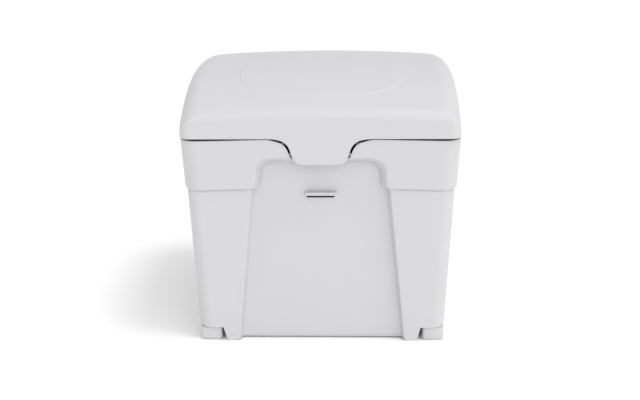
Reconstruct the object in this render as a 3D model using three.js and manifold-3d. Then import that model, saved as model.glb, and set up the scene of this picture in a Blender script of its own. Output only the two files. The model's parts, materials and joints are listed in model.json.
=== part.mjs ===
// Portable cassette toilet, in millimetres: +X right, +Y towards the hinges, +Z up, floor at Z 0.
// The lower unit is the waste cassette. The upper unit holds the bowl, flush water, seat and lid,
// and its skirt hangs over the cassette's rim.
import * as THREE from "three";
import { mergeVertices } from "three/addons/utils/BufferGeometryUtils.js";
import Module from "manifold-3d";

const wasm = await Module();
wasm.setup();

// ---------------------------------------------------------------- driving dimensions
const GAP = 0.3; // between separate pieces that rest on each other
const MID_Y = -5; // middle of both shells, front to back
const WALL = 3;

const BODY = { halfX: 196.5, halfY: 191.5, draft: 0.04, corner: 22, top: 261.4 };
const BAND = { halfX: 215, halfY: 210, draft: 0.06, corner: 27, bottom: 262, top: 341 };
const COLLAR = { inset: 2.4, top: 285 }; // the cassette's rim, inside the skirt

const CORNER_CUT_TOP = 22; // the shell's corners are cut up to here for the feet
const CASSETTE_DECK = 208;
const TURRET = { radius: 76, top: 244.3 };
const INLET_R = 48;

const RECESS = { depth: 12, slope: 0.088, outer: 134.5, innerSlope: 0.111, inner: 129 };
const ARCH = { top: 312, halfTop: 76, bottom: 258, inset: 9 }; // the niche over the recess

const POCKET = { halfX: 130, front: 137, bottom: 140, top: 202 };
const SPOUT = { x: -85, y: 165, armZ: 171, r: 20, bore: 17, armEnd: 48 };
const VENT = { x: 105, y: 165, r: 5 };

const BLADE = { z: 250, thick: 3, halfX: 60, back: 62, stemHalfX: 20, stemFront: -199.6 };
const DECK = { top: 336, thick: 3 };
const BOWL = { low: 261.2, outletR: 53, halfX: 106, halfY: 132, shift: -20, top: 342, wall: 3 };
const FLANGE = { halfX: 146, halfY: 158, thick: 2.5 };
const TANK = { halfX: 190, front: -150, back: 186, bottom: 212, top: 318, wall: 2.5, corner: 24 };
const CORNER_FITTING = { x: 158, y: 150 }; // flush filler on the left, pump on the right
const FILL = { r: 21, bore: 18, top: 344 };
const PUMP = { r: 20, bore: 17, low: 262, flange: 27, flangeThick: 3, piston: 4 };
const HOSE_Z = 326;
const HOSE_R = 4;
const HINGE = { y: 211.5, z: 345, r: 6, pin: 3 };
const SEAT = { low: 346, high: 366, halfX: 160, halfY: 178, y: -18, holeX: 108, holeY: 132 };
const LID = { low: 344, halfX: 215, front: -216.5, back: 204.7, wall: 3 };
const LID_EDGE = { front: 10, side: 30, back: 34, frontCorner: 16, backCorner: 42 };
const LID_RISE = { front: 35, back: 48.6, crown: 6, frontPull: [120, 96], backPull: [200, 86] };

const WHITE = { color: 0xdcdcde, roughness: 0.42, metalness: 0 };
const LIGHT_GREY = { color: 0xc4c6ca, roughness: 0.5, metalness: 0 };
const DARK_GREY = { color: 0x55595f, roughness: 0.55, metalness: 0 };
const RUBBER = { color: 0x232427, roughness: 0.85, metalness: 0 };
const STEEL = { color: 0xb9bcc0, roughness: 0.3, metalness: 1 };
const HOSE = { color: 0xbfc9cc, roughness: 0.35, metalness: 0 };

// ---------------------------------------------------------------- solids
// A closed mesh as a solid. A mesh that was wound inwards is turned inside out.
const toSolid = (geometry) => {
  const bare = geometry.clone();
  bare.deleteAttribute("normal");
  bare.deleteAttribute("uv");
  const merged = mergeVertices(bare, 1e-4);
  const vertProperties = new Float32Array(merged.attributes.position.array);
  const triVerts = new Uint32Array(merged.index.array);
  const made = new wasm.Manifold(new wasm.Mesh({ numProp: 3, vertProperties, triVerts }));
  if (made.volume() > 0) return made;
  const flipped = { numProp: 3, vertProperties, triVerts: triVerts.reverse() };
  return new wasm.Manifold(new wasm.Mesh(flipped));
};

const toGeometry = (solid) => {
  const mesh = solid.getMesh();
  const geometry = new THREE.BufferGeometry();
  geometry.setAttribute("position", new THREE.BufferAttribute(new Float32Array(mesh.vertProperties), 3));
  geometry.setIndex(new THREE.BufferAttribute(new Uint32Array(mesh.triVerts), 1));
  const flat = geometry.toNonIndexed();
  flat.computeVertexNormals();
  return flat;
};

const box = (x0, x1, y0, y1, z0, z1) =>
  toSolid(
    new THREE.BoxGeometry(x1 - x0, y1 - y0, z1 - z0).translate(
      (x0 + x1) / 2, (y0 + y1) / 2, (z0 + z1) / 2,
    ),
  );

// A cylinder from a to b along X, Y or Z, with its axis through the two other coordinates.
const rod = (axis, a, b, u, v, r, sides = 20) => {
  const g = new THREE.CylinderGeometry(r, r, b - a, sides);
  const middle = (a + b) / 2;
  if (axis === "x") return toSolid(g.rotateZ(-Math.PI / 2).translate(middle, u, v));
  if (axis === "y") return toSolid(g.translate(u, middle, v));
  return toSolid(g.rotateX(Math.PI / 2).translate(u, v, middle));
};

// A closed skin over rings of the same number of points. Each ring runs counter-clockwise, seen from
// the last ring's side.
const loft = (rings) => {
  const count = rings[0].length;
  const points = rings.flat();
  const faces = [];
  for (let k = 0; k + 1 < rings.length; k++) {
    for (let i = 0; i < count; i++) {
      const j = (i + 1) % count;
      const [a, b, c, d] = [k * count + i, k * count + j, (k + 1) * count + j, (k + 1) * count + i];
      faces.push(a, b, c, a, c, d);
    }
  }
  const middle = (ring) => ring.reduce((s, p) => s.map((v, n) => v + p[n] / count), [0, 0, 0]);
  points.push(middle(rings[0]), middle(rings.at(-1)));
  const [low, high] = [points.length - 2, points.length - 1];
  const last = (rings.length - 1) * count;
  for (let i = 0; i < count; i++) {
    const j = (i + 1) % count;
    faces.push(low, j, i, high, last + i, last + j);
  }
  const g = new THREE.BufferGeometry();
  g.setAttribute("position", new THREE.BufferAttribute(new Float32Array(points.flat()), 3));
  g.setIndex(faces);
  return toSolid(g);
};

// Rounded rectangle, counter-clockwise from above, with its own radius at the front and at the back.
const roundedOutline = (halfX, y0, y1, frontR, backR, steps = 6) => {
  const corners = [
    [halfX - frontR, y0 + frontR, frontR, -Math.PI / 2],
    [halfX - backR, y1 - backR, backR, 0],
    [-halfX + backR, y1 - backR, backR, Math.PI / 2],
    [-halfX + frontR, y0 + frontR, frontR, Math.PI],
  ];
  return corners.flatMap(([x, y, r, start]) =>
    Array.from({ length: steps + 1 }, (_, i) => {
      const a = start + (i / steps) * (Math.PI / 2);
      return [x + r * Math.cos(a), y + r * Math.sin(a)];
    }),
  );
};

const ringAt = (outline, z) => outline.map(([x, y]) => [x, y, z]);

// A drafted rounded box between levels of { z, halfX, halfY, corner }.
const shell = (levels) =>
  loft(
    levels.map(({ z, halfX, halfY, corner }) =>
      ringAt(roundedOutline(halfX, MID_Y - halfY, MID_Y + halfY, corner, corner), z),
    ),
  );

const ellipse = (halfX, halfY, cy, z, steps = 28, power = 2) =>
  Array.from({ length: steps }, (_, i) => {
    const a = (i / steps) * 2 * Math.PI;
    const pull = (v) => Math.sign(v) * Math.abs(v) ** (2 / power);
    return [halfX * pull(Math.cos(a)), cy + halfY * pull(Math.sin(a)), z];
  });

// A polygon drawn in X and Z, extruded along Y from y0 to y1.
const plate = (outline, y0, y1) => {
  const shape = new THREE.Shape(outline.map(([x, z]) => new THREE.Vector2(x, z)));
  const g = new THREE.ExtrudeGeometry(shape, { depth: y1 - y0, bevelEnabled: false });
  return toSolid(g.rotateX(Math.PI / 2).translate(0, y1, 0));
};

// A polygon drawn in Y and Z, extruded along X from x0 to x1.
const sidePlate = (outline, x0, x1) => {
  const shape = new THREE.Shape(outline.map(([y, z]) => new THREE.Vector2(y, z)));
  const g = new THREE.ExtrudeGeometry(shape, { depth: x1 - x0, bevelEnabled: false });
  g.applyMatrix4(new THREE.Matrix4().set(0, 0, 1, x0, 1, 0, 0, 0, 0, 1, 0, 0, 0, 0, 0, 1));
  return toSolid(g);
};

const lathe = (profile, x, y, sides = 32) => {
  const g = new THREE.LatheGeometry(profile.map(([r, z]) => new THREE.Vector2(r, z)), sides);
  return toSolid(g.rotateX(Math.PI / 2).translate(x, y, 0));
};

const mirrored = (solid) => solid.mirror([1, 0, 0]);
const both = (solid) => solid.add(mirrored(solid));

const root = new THREE.Group();
const addPart = (name, solid, look) => {
  const mesh = new THREE.Mesh(toGeometry(solid), new THREE.MeshStandardMaterial(look));
  mesh.name = name;
  root.add(mesh);
};

// ---------------------------------------------------------------- the shells' outer faces
const bodyLevel = (z, inset = 0) => ({
  z,
  halfX: BODY.halfX + BODY.draft * z - inset,
  halfY: BODY.halfY + BODY.draft * z - inset,
  corner: Math.max(BODY.corner - inset, 4),
});

const bandLevel = (z, inset = 0) => ({
  z,
  halfX: BAND.halfX - BAND.draft * (BAND.top - z) - inset,
  halfY: BAND.halfY - BAND.draft * (BAND.top - z) - inset,
  corner: BAND.corner - inset,
});

const bodyFront = (z) => MID_Y - BODY.halfY - BODY.draft * z;
const bodyBack = (z) => MID_Y + BODY.halfY + BODY.draft * z;
const recessFloor = (z) => bodyFront(z) + RECESS.depth;
const bandFront = (z) => MID_Y - bandLevel(z).halfY;

// The front recess: a long wedge whose sides open outwards, widest at the floor of the room.
const recessHalf = (z, depth, grow) => {
  const outer = RECESS.outer - RECESS.slope * z;
  const inner = RECESS.inner - RECESS.innerSlope * z;
  return outer + ((inner - outer) * depth) / RECESS.depth + grow;
};

const recessWedge = (z0, z1, grow) =>
  loft(
    [-14, RECESS.depth + grow].map((depth) =>
      [[1, z1], [-1, z1], [-1, z0], [1, z0]].map(([side, z]) => [
        side * recessHalf(z, Math.min(depth, RECESS.depth), grow),
        bodyFront(z) + depth,
        z,
      ]),
    ),
  );

const bezier = (p0, p1, p2, p3, steps) =>
  new THREE.CubicBezierCurve(...[p0, p1, p2, p3].map(([x, z]) => new THREE.Vector2(x, z)))
    .getPoints(steps)
    .map(({ x, y }) => [x, y]);

// The arch that tops the recess, from one side over the top to the other, drawn inset by a distance.
const archOutline = (inset) => {
  const half = bezier(
    [ARCH.halfTop - inset, ARCH.top - inset],
    [ARCH.halfTop + 20 - inset, ARCH.top - inset],
    [ARCH.halfTop + 28 - inset, ARCH.top - 27],
    [ARCH.halfTop + 35.4 - inset, ARCH.bottom - 4],
    7,
  );
  return [...half.map(([x, z]) => [-x, z]).reverse(), ...half];
};

// The niche that carries the recess up to its arch. Its sides slope in from the skirt to the recess floor.
const archWedge = (grow) =>
  loft([
    archOutline(-grow).map(([x, z]) => [x, bandFront(z) - 2, z]),
    archOutline(ARCH.inset - grow).map(([x, z]) => [x, recessFloor(z) + grow, z]),
  ]);

// ---------------------------------------------------------------- cassette: tub, deck, feet
// Each corner of the shell is cut up for a foot. The cut leans, so the leg beside it narrows downwards.
const cornerCuts = (grow) => {
  const [legTop, legLow, far] = [160 - grow, 154.5 - grow, 260];
  const ring = (z, inner) =>
    ringAt([[inner, -far], [far, -far], [far, MID_Y - inner + 2], [inner, MID_Y - inner + 2]], z);
  const front = loft([ring(-5, legLow), ring(CORNER_CUT_TOP + grow, legTop)]);
  const back = front.mirror([0, 1, 0]).translate([0, 2 * MID_Y, 0]);
  return both(front.add(back));
};

const pocketBox = (grow, low, high) =>
  box(-POCKET.halfX - grow, POCKET.halfX + grow, POCKET.front - grow, 260, low, high);

const makeTub = () => {
  const innerRim = bodyLevel(BODY.top, COLLAR.inset + WALL);
  const inside = shell([bodyLevel(WALL, WALL), { ...innerRim, z: BODY.top - 4 }, { ...innerRim, z: 340 }])
    .subtract(recessWedge(-5, 330, WALL))
    .subtract(pocketBox(WALL, POCKET.bottom - WALL, POCKET.top + WALL))
    .subtract(cornerCuts(WALL));
  const insideSkirt = shell([bandLevel(BODY.top - 8, WALL + 0.6), bandLevel(320, WALL + 0.6)]);
  const archRoom = box(-126, 126, -260, recessFloor(BODY.top) + WALL, BODY.top, COLLAR.top + 5);
  const stemSlot = box(
    -BLADE.stemHalfX - 1.5, BLADE.stemHalfX + 1.5, -230, -180, BLADE.z - 0.8, BLADE.z + BLADE.thick + 0.8,
  );
  return shell([bodyLevel(0), bodyLevel(BODY.top)])
    .add(shell([bodyLevel(240, COLLAR.inset), { ...bodyLevel(BODY.top, COLLAR.inset), z: COLLAR.top }]))
    .subtract(inside)
    .subtract(archRoom)
    .add(archWedge(WALL).intersect(insideSkirt))
    .subtract(archWedge(0))
    .subtract(recessWedge(-5, BODY.top - 3, 0))
    .subtract(pocketBox(0, POCKET.bottom, POCKET.top))
    .subtract(cornerCuts(0))
    .subtract(stemSlot)
    .subtract(rod("z", 130, 145, SPOUT.x, SPOUT.y, SPOUT.r + GAP))
    .subtract(rod("z", 130, 145, VENT.x, VENT.y, VENT.r + 2 * GAP));
};

const makeDeck = () => {
  const low = POCKET.top + WALL + GAP;
  const edge = bodyLevel(CASSETTE_DECK, COLLAR.inset + WALL + GAP);
  return shell([{ ...edge, z: low }, { ...edge, z: low + WALL }])
    .subtract(recessWedge(low - 5, low + 10, WALL + 4 * GAP))
    .add(rod("z", low, TURRET.top, 0, 0, TURRET.radius, 28))
    .subtract(rod("z", low - 5, TURRET.top - WALL, 0, 0, TURRET.radius - WALL, 28))
    .subtract(rod("z", 230, 250, 0, 0, INLET_R, 28));
};

addPart("cassette_tub", makeTub(), WHITE);
addPart("cassette_deck", makeDeck(), LIGHT_GREY);

const FOOT = { x: 179.2, y: 175.5, halfX: 17.4, halfY: 13.4, corner: 7, top: CORNER_CUT_TOP - GAP, pad: 9.5 };
for (const [sideName, side] of [["left", -1], ["right", 1]]) {
  for (const [endName, end] of [["front", -1], ["rear", 1]]) {
    const [x, y] = [side * FOOT.x, MID_Y + end * FOOT.y];
    const outline = roundedOutline(FOOT.halfX, -FOOT.halfY, FOOT.halfY, FOOT.corner, FOOT.corner, 3).map(
      ([across, along]) => [across + x, along + y],
    );
    const block = loft([ringAt(outline, 0.6), ringAt(outline, FOOT.top)]);
    addPart(`foot_${endName}_${sideName}`, block.subtract(rod("z", 0, 3.4, x, y, FOOT.pad + GAP, 16)), WHITE);
    addPart(`foot_pad_${endName}_${sideName}`, rod("z", 0, 3.1, x, y, FOOT.pad, 16), RUBBER);
  }
}

// ---------------------------------------------------------------- cassette: slide valve
const VALVE = { halfX: 72, front: -178, back: 76, railX: 61 };
const SCREW_PLACES = [[66.5, -150], [66.5, 64], [-66.5, -150], [-66.5, 64]];
const railTop = BLADE.z + BLADE.thick + 0.8;
const coverTop = railTop + GAP + 3;

const screwHoles = (z0, z1) =>
  SCREW_PLACES.map(([x, y]) => rod("z", z0, z1, x, y, 2.3, 8)).reduce((a, b) => a.add(b));

const makeValveBase = () => {
  const floorPlate = box(
    -VALVE.halfX, VALVE.halfX, VALVE.front, VALVE.back, TURRET.top + GAP, BLADE.z - GAP,
  );
  const rail = box(VALVE.railX, VALVE.halfX, VALVE.front, VALVE.back, BLADE.z - 1, railTop);
  const backStop = box(
    -VALVE.railX - 1, VALVE.railX + 1, BLADE.back + 1, VALVE.back, BLADE.z - 1, railTop,
  );
  return floorPlate
    .add(both(rail))
    .add(backStop)
    .subtract(rod("z", 240, 260, 0, 0, INLET_R, 28))
    .subtract(screwHoles(246.5, 260));
};

const makeValveCover = () =>
  box(-VALVE.halfX, VALVE.halfX, VALVE.front, VALVE.back, railTop + GAP, coverTop)
    .subtract(rod("z", 240, 260, 0, 0, INLET_R, 28))
    .subtract(screwHoles(246, 262));

addPart("valve_base", makeValveBase(), LIGHT_GREY);
addPart("valve_cover", makeValveCover(), LIGHT_GREY);
SCREW_PLACES.forEach(([x, y], i) => {
  const screw = rod("z", 247, coverTop + GAP, x, y, 2, 8).add(
    rod("z", coverTop + GAP, coverTop + GAP + 2.2, x, y, 3.7, 10),
  );
  addPart(`valve_screw_${i + 1}`, screw, STEEL);
});

const SEAL = { low: coverTop + GAP, high: coverTop + GAP + 3.4 };
addPart(
  "bowl_lip_seal",
  lathe(
    [
      [INLET_R - 1, SEAL.low], [INLET_R + 8, SEAL.low], [INLET_R + 6, SEAL.high], [INLET_R - 3, SEAL.high],
      [INLET_R - 1, SEAL.low],
    ],
    0, 0, 28,
  ),
  RUBBER,
);

const makeBlade = () => {
  const wide = roundedOutline(BLADE.halfX, -BLADE.back, BLADE.back, 10, 26, 5);
  const disc = loft([ringAt(wide, BLADE.z), ringAt(wide, BLADE.z + BLADE.thick)]);
  return disc.add(
    box(-BLADE.stemHalfX, BLADE.stemHalfX, BLADE.stemFront, -BLADE.back + 5, BLADE.z, BLADE.z + BLADE.thick),
  );
};
addPart("valve_blade", makeBlade(), DARK_GREY);

const PULL = { halfX: 25, low: 248.4, high: 255.2, front: -205.2 };
const makePull = () => {
  const back = recessFloor(BLADE.z) - 0.6;
  const outline = [
    [PULL.front, PULL.low + 1.6], [PULL.front, PULL.high - 0.8], [PULL.front + 1, PULL.high],
    [back, PULL.high], [back, PULL.low], [PULL.front + 2.5, PULL.low],
  ];
  const socket = box(
    -BLADE.stemHalfX - GAP, BLADE.stemHalfX + GAP, BLADE.stemFront - GAP, -190,
    BLADE.z - GAP, BLADE.z + BLADE.thick + GAP,
  );
  return sidePlate(outline.reverse(), -PULL.halfX, PULL.halfX).subtract(socket);
};
addPart("blade_pull", makePull(), WHITE);

// ---------------------------------------------------------------- cassette: pour spout, vent
const makeSpoutTube = (r, armEnd, low) => {
  const riser = rod("z", low, SPOUT.armZ, SPOUT.x, SPOUT.y, r);
  const arm = rod("x", SPOUT.x, armEnd, SPOUT.y, SPOUT.armZ, r);
  const elbow = toSolid(new THREE.SphereGeometry(r, 20, 10).translate(SPOUT.x, SPOUT.y, SPOUT.armZ));
  return riser.add(arm).add(elbow);
};
const makeSpout = () =>
  makeSpoutTube(SPOUT.r, SPOUT.armEnd, 134)
    .add(rod("z", 131.5, 134.1, SPOUT.x, SPOUT.y, SPOUT.r + 2.5))
    .subtract(makeSpoutTube(SPOUT.bore, SPOUT.armEnd + 5, 130));
// The spout turns in the pocket's floor. Its flange below the floor keeps it in.
addPart("pour_spout", makeSpout(), LIGHT_GREY);

const ringAround = (inner, outer, z0, z1, x, y, sides = 20) =>
  rod("z", z0, z1, x, y, outer, sides).subtract(rod("z", z0 - 1, z1 + 1, x, y, inner, sides));
addPart(
  "spout_collar",
  ringAround(SPOUT.r + 0.4, SPOUT.r + 7, POCKET.bottom + GAP, POCKET.bottom + 7, SPOUT.x, SPOUT.y),
  DARK_GREY,
);

const lobed = (r, lobes, deep, z0, z1) => {
  const steps = lobes * 4;
  const outline = Array.from({ length: steps }, (_, i) => {
    const a = (i / steps) * 2 * Math.PI;
    const rr = r - (deep * (1 - Math.cos(lobes * a))) / 2;
    return [rr * Math.cos(a), rr * Math.sin(a)];
  });
  return loft([ringAt(outline, z0), ringAt(outline, z1)]);
};

const SPOUT_CAP = { r: 24.5, start: 30, end: 56 };
const capAlongX = (solid) => solid.rotate([0, 90, 0]).translate([0, SPOUT.y, SPOUT.armZ]);
addPart(
  "spout_cap",
  capAlongX(lobed(SPOUT_CAP.r, 10, 1.6, SPOUT_CAP.start, SPOUT_CAP.end)).subtract(
    rod("x", 0, SPOUT.armEnd + 2.6, SPOUT.y, SPOUT.armZ, SPOUT.r + 0.5),
  ),
  DARK_GREY,
);
addPart(
  "spout_cap_seal",
  rod("x", SPOUT.armEnd + 0.3, SPOUT.armEnd + 2.3, SPOUT.y, SPOUT.armZ, SPOUT.r - 0.2).subtract(
    rod("x", 0, 80, SPOUT.y, SPOUT.armZ, SPOUT.bore - 1),
  ),
  RUBBER,
);

const BUTTON = { low: 145.5, high: 156, r: 9.5, seat: 134 };
const makeVentButton = () =>
  rod("z", BUTTON.low, BUTTON.high, VENT.x, VENT.y, BUTTON.r, 28)
    .subtract(rod("z", BUTTON.low - 1, BUTTON.high - 2, VENT.x, VENT.y, BUTTON.r - 1.5, 28))
    .add(rod("z", BUTTON.seat, BUTTON.high - 1, VENT.x, VENT.y, VENT.r - 1, 20))
    .add(rod("z", BUTTON.seat, BUTTON.seat + 2, VENT.x, VENT.y, VENT.r + 3, 20));
addPart("vent_button", makeVentButton(), DARK_GREY);

const makeSpring = (r, wire, z0, z1, turns) => {
  class Helix extends THREE.Curve {
    getPoint(t) {
      const a = t * turns * 2 * Math.PI;
      return new THREE.Vector3(VENT.x + r * Math.cos(a), VENT.y + r * Math.sin(a), z0 + (z1 - z0) * t);
    }
  }
  const section = new THREE.Shape(
    Array.from({ length: 5 }, (_, i) => {
      const a = (i / 5) * 2 * Math.PI;
      return new THREE.Vector2(wire * Math.cos(a), wire * Math.sin(a));
    }),
  );
  const sweep = { steps: 40, bevelEnabled: false, extrudePath: new Helix() };
  return toSolid(new THREE.ExtrudeGeometry(section, sweep));
};
addPart("vent_spring", makeSpring(6, 0.5, POCKET.bottom + 0.9, BUTTON.high - 2.9, 4.5), STEEL);

// ---------------------------------------------------------------- cassette: carry handle
const HANDLE = { z: 118, x: 66, y: 200, drop: 42, r: 6, pivot: 3 };
const makeHandle = () => {
  const arm = sidePlate(
    [[-5, 6], [-5, -HANDLE.drop], [5, -HANDLE.drop], [5, 6]].map(([y, z]) => [HANDLE.y + y, HANDLE.z + z]),
    HANDLE.x - 4, HANDLE.x + 4,
  );
  return both(arm).add(
    rod("x", -HANDLE.x - 4, HANDLE.x + 4, HANDLE.y, HANDLE.z - HANDLE.drop, HANDLE.r, 24),
  );
};
const pivotHoles = both(rod("x", 50, 90, HANDLE.y, HANDLE.z, HANDLE.pivot + 0.2, 16));
addPart("carry_handle", makeHandle().subtract(pivotHoles), LIGHT_GREY);
addPart(
  "handle_grip",
  rod("x", -48, 48, HANDLE.y, HANDLE.z - HANDLE.drop, HANDLE.r + 2.2, 24).subtract(
    rod("x", -50, 50, HANDLE.y, HANDLE.z - HANDLE.drop, HANDLE.r + GAP, 24),
  ),
  RUBBER,
);
for (const [name, side] of [["left", -1], ["right", 1]]) {
  const wallAt = bodyBack(HANDLE.z - 12) + 1.2;
  const ear = sidePlate(
    [[wallAt, 12], [wallAt, -12], [205, -7], [207, 0], [205, 7]].map(([y, z]) => [y, HANDLE.z + z]),
    HANDLE.x + 4.6, HANDLE.x + 14,
  ).subtract(pivotHoles);
  const pin = rod("x", HANDLE.x - 5, HANDLE.x + 15, HANDLE.y, HANDLE.z, HANDLE.pivot, 16);
  addPart(`handle_bracket_${name}`, side < 0 ? mirrored(ear) : ear, LIGHT_GREY);
  addPart(`handle_pin_${name}`, side < 0 ? mirrored(pin) : pin, STEEL);
}

// ---------------------------------------------------------------- latch between the units
const LATCH = { low: 228, high: 256, y0: 203.4, y1: 207.4, left: -84, right: -40, tongue: -28.5 };
const LATCH_CATCH = { left: -26, right: -6, low: 238, high: 284 };

const makeLatchGuide = () => {
  const block = box(LATCH.left - 14, LATCH.right + 1, 197.1, LATCH.y1 + 2.3, LATCH.low - 4, LATCH.high + 4);
  const track = box(
    LATCH.left - 20, LATCH.right + 9, LATCH.y0 - GAP, LATCH.y1 + GAP, LATCH.low - GAP, LATCH.high + GAP,
  );
  const window = box(LATCH.left - 20, LATCH.right + 9, LATCH.y1, 215, LATCH.low + 4, LATCH.high - 4);
  return block.subtract(track).subtract(window);
};
addPart("latch_guide", makeLatchGuide(), LIGHT_GREY);

const makeLatch = () =>
  box(LATCH.left, LATCH.right, LATCH.y0, LATCH.y1, LATCH.low, LATCH.high)
    .add(box(LATCH.right - 1, LATCH.tongue, LATCH.y0, LATCH.y1, 243.5, 251))
    .add(box(-68, -61, LATCH.y1 - 1, LATCH.y1 + 6, LATCH.low + 5, LATCH.high - 5));
addPart("latch_slider", makeLatch(), DARK_GREY);

const makeLatchCatch = () =>
  box(LATCH_CATCH.left, LATCH_CATCH.right, 202.1, 210, LATCH_CATCH.low, LATCH_CATCH.high).subtract(
    box(-30, -12, LATCH.y0 - 0.6, LATCH.y1 + 0.6, 242.5, 252),
  );
addPart("latch_catch", makeLatchCatch(), LIGHT_GREY);

// ---------------------------------------------------------------- upper unit: shell, bowl, water tank
// The lid's front tab and the notch in the skirt that it hangs in share one S-shaped edge.
const TAB = { shoulder: 78, low: 302.8, halfLow: 29.5, front: -217.5, back: -213.6, top: 352 };
const tabOutline = (grow) => {
  const upper = bezier([TAB.shoulder, LID.low], [58, LID.low - 1], [52, 338], [47.6, 329], 5);
  const lower = bezier([47.6, 329], [43, 318], [41, TAB.low], [TAB.halfLow, TAB.low], 5).slice(1);
  const half = [...upper, ...lower].map(([x, z]) => [x + grow, z - grow]);
  const otherHalf = half.map(([x, z]) => [-x, z]).reverse();
  return [[TAB.shoulder + grow, TAB.top], ...half, ...otherHalf, [-TAB.shoulder - grow, TAB.top]];
};

// The bowl's outside at a height: a quarter-ellipse profile from the round outlet to the oval rim.
const bowlHalf = (z, grow = 0) => {
  const t = Math.min((z - BOWL.low) / (BOWL.top - BOWL.low), 1);
  const bulge = Math.sqrt(1 - (1 - t) ** 2);
  return {
    x: BOWL.outletR + (BOWL.halfX - BOWL.outletR) * bulge + grow,
    y: BOWL.outletR + (BOWL.halfY - BOWL.outletR) * bulge + grow,
    cy: BOWL.shift * bulge,
  };
};
const makeUpperShell = () => {
  const skirt = shell([bandLevel(BAND.bottom), bandLevel(BAND.top)])
    .subtract(shell([bandLevel(BAND.bottom - 2, WALL), bandLevel(DECK.top - DECK.thick, WALL)]))
    .subtract(shell([bandLevel(DECK.top, WALL), bandLevel(BAND.top + 2, WALL)]));
  const bowlAtDeck = bowlHalf(DECK.top, 1);
  const bowlHole = ellipse(bowlAtDeck.x, bowlAtDeck.y, bowlAtDeck.cy, 0);
  return skirt
    .subtract(plate(archOutline(0), -230, -190))
    .subtract(plate(tabOutline(3).filter(([, z]) => z > 303), -230, -199))
    .subtract(loft([ringAt(bowlHole, 320), ringAt(bowlHole, 345)]))
    .subtract(rod("z", 320, 345, -CORNER_FITTING.x, CORNER_FITTING.y, FILL.r + 1))
    .subtract(rod("z", 320, 345, CORNER_FITTING.x, CORNER_FITTING.y, PUMP.r + 1));
};

const bowlRing = (z, grow, lift = 0) => {
  const { x, y, cy } = bowlHalf(z, grow);
  return ellipse(x, y, cy, z + lift);
};
const BOWL_LEVELS = [0, 0.02, 0.1, 0.28, 0.58, 1].map(
  (t) => BOWL.low + t * (BOWL.top - BOWL.low),
);

const makeBowl = () => {
  const outside = loft(BOWL_LEVELS.map((z) => bowlRing(z, 0)));
  const liningRings = BOWL_LEVELS.slice(1).map((z) => {
    const lift = (BOWL.wall * (BOWL.top - z)) / (BOWL.top - BOWL.low);
    return bowlRing(z, -BOWL.wall, lift);
  });
  const inside = loft([
    bowlRing(BOWL.low, -BOWL.wall, -2),
    ...liningRings,
    bowlRing(BOWL.top, -BOWL.wall, 4),
  ]);
  const flange = loft(
    [DECK.top + GAP, DECK.top + GAP + FLANGE.thick].map((z) =>
      ellipse(FLANGE.halfX, FLANGE.halfY, BOWL.shift, z),
    ),
  );
  return outside.add(flange).subtract(inside);
};

const tankBlock = (inset) => {
  const { halfX, front, back, corner, bottom, top } = TANK;
  const r = corner - inset;
  const outline = roundedOutline(halfX - inset, front + inset, back - inset, r, r, 4);
  const block = loft([ringAt(outline, bottom + inset), ringAt(outline, top - inset)]);
  const bowlRoom = loft([
    bowlRing(BOWL.low, 6 + inset, -60),
    ...BOWL_LEVELS.slice(1).map((z) => bowlRing(z, 6 + inset)),
  ]);
  const valveRoom = box(-98 - inset, 98 + inset, -200, VALVE.back + 8 + inset, 200, 330);
  return block.subtract(bowlRoom).subtract(valveRoom);
};
const makeFlushTank = () => {
  const neck = rod("z", TANK.top - 1, FILL.top, -CORNER_FITTING.x, CORNER_FITTING.y, FILL.r);
  const bore = rod("z", TANK.top - 6, FILL.top + 5, -CORNER_FITTING.x, CORNER_FITTING.y, FILL.bore);
  return tankBlock(0)
    .subtract(tankBlock(TANK.wall))
    .add(neck)
    .subtract(bore)
    .subtract(rod("z", TANK.top - 6, TANK.top + 5, CORNER_FITTING.x, CORNER_FITTING.y, PUMP.r + GAP));
};

addPart("upper_shell", makeUpperShell(), WHITE);
addPart("bowl", makeBowl(), WHITE);
addPart("flush_tank", makeFlushTank(), LIGHT_GREY);

// ---------------------------------------------------------------- upper unit: filler and pump
const cornerAt = (side, solid) => solid.translate([side * CORNER_FITTING.x, CORNER_FITTING.y, 0]);
const CAP = { r: 27, low: DECK.top + 1, high: 351 };
addPart(
  "fill_cap",
  cornerAt(
    -1,
    lobed(CAP.r, 12, 2, CAP.low, CAP.high).subtract(rod("z", 0, FILL.top + 2.7, 0, 0, FILL.r + 0.6)),
  ),
  DARK_GREY,
);
addPart(
  "fill_cap_seal",
  cornerAt(-1, ringAround(FILL.bore - 1, FILL.r - 0.2, FILL.top + 0.3, FILL.top + 2.4, 0, 0)),
  RUBBER,
);

const makePumpBody = () => {
  const top = DECK.top + GAP + PUMP.flangeThick;
  const { x, y } = CORNER_FITTING;
  return rod("z", PUMP.low, top, x, y, PUMP.r)
    .add(rod("z", DECK.top + GAP, top, x, y, PUMP.flange))
    .add(rod("z", PUMP.low - 8, PUMP.low + 1, x, y, 6, 20))
    .subtract(rod("z", PUMP.low + 3, top + 5, x, y, PUMP.bore))
    .subtract(rod("z", PUMP.low - 10, PUMP.low + 5, x, y, 3, 16))
    .subtract(rod("x", x - PUMP.r - 4, x, y, HOSE_Z, 3, 16));
};
addPart("pump_body", makePumpBody(), LIGHT_GREY);
addPart(
  "suction_tube",
  ringAround(6.3, 8.5, TANK.bottom + 7, PUMP.low - 1, CORNER_FITTING.x, CORNER_FITTING.y, 20),
  HOSE,
);

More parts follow.
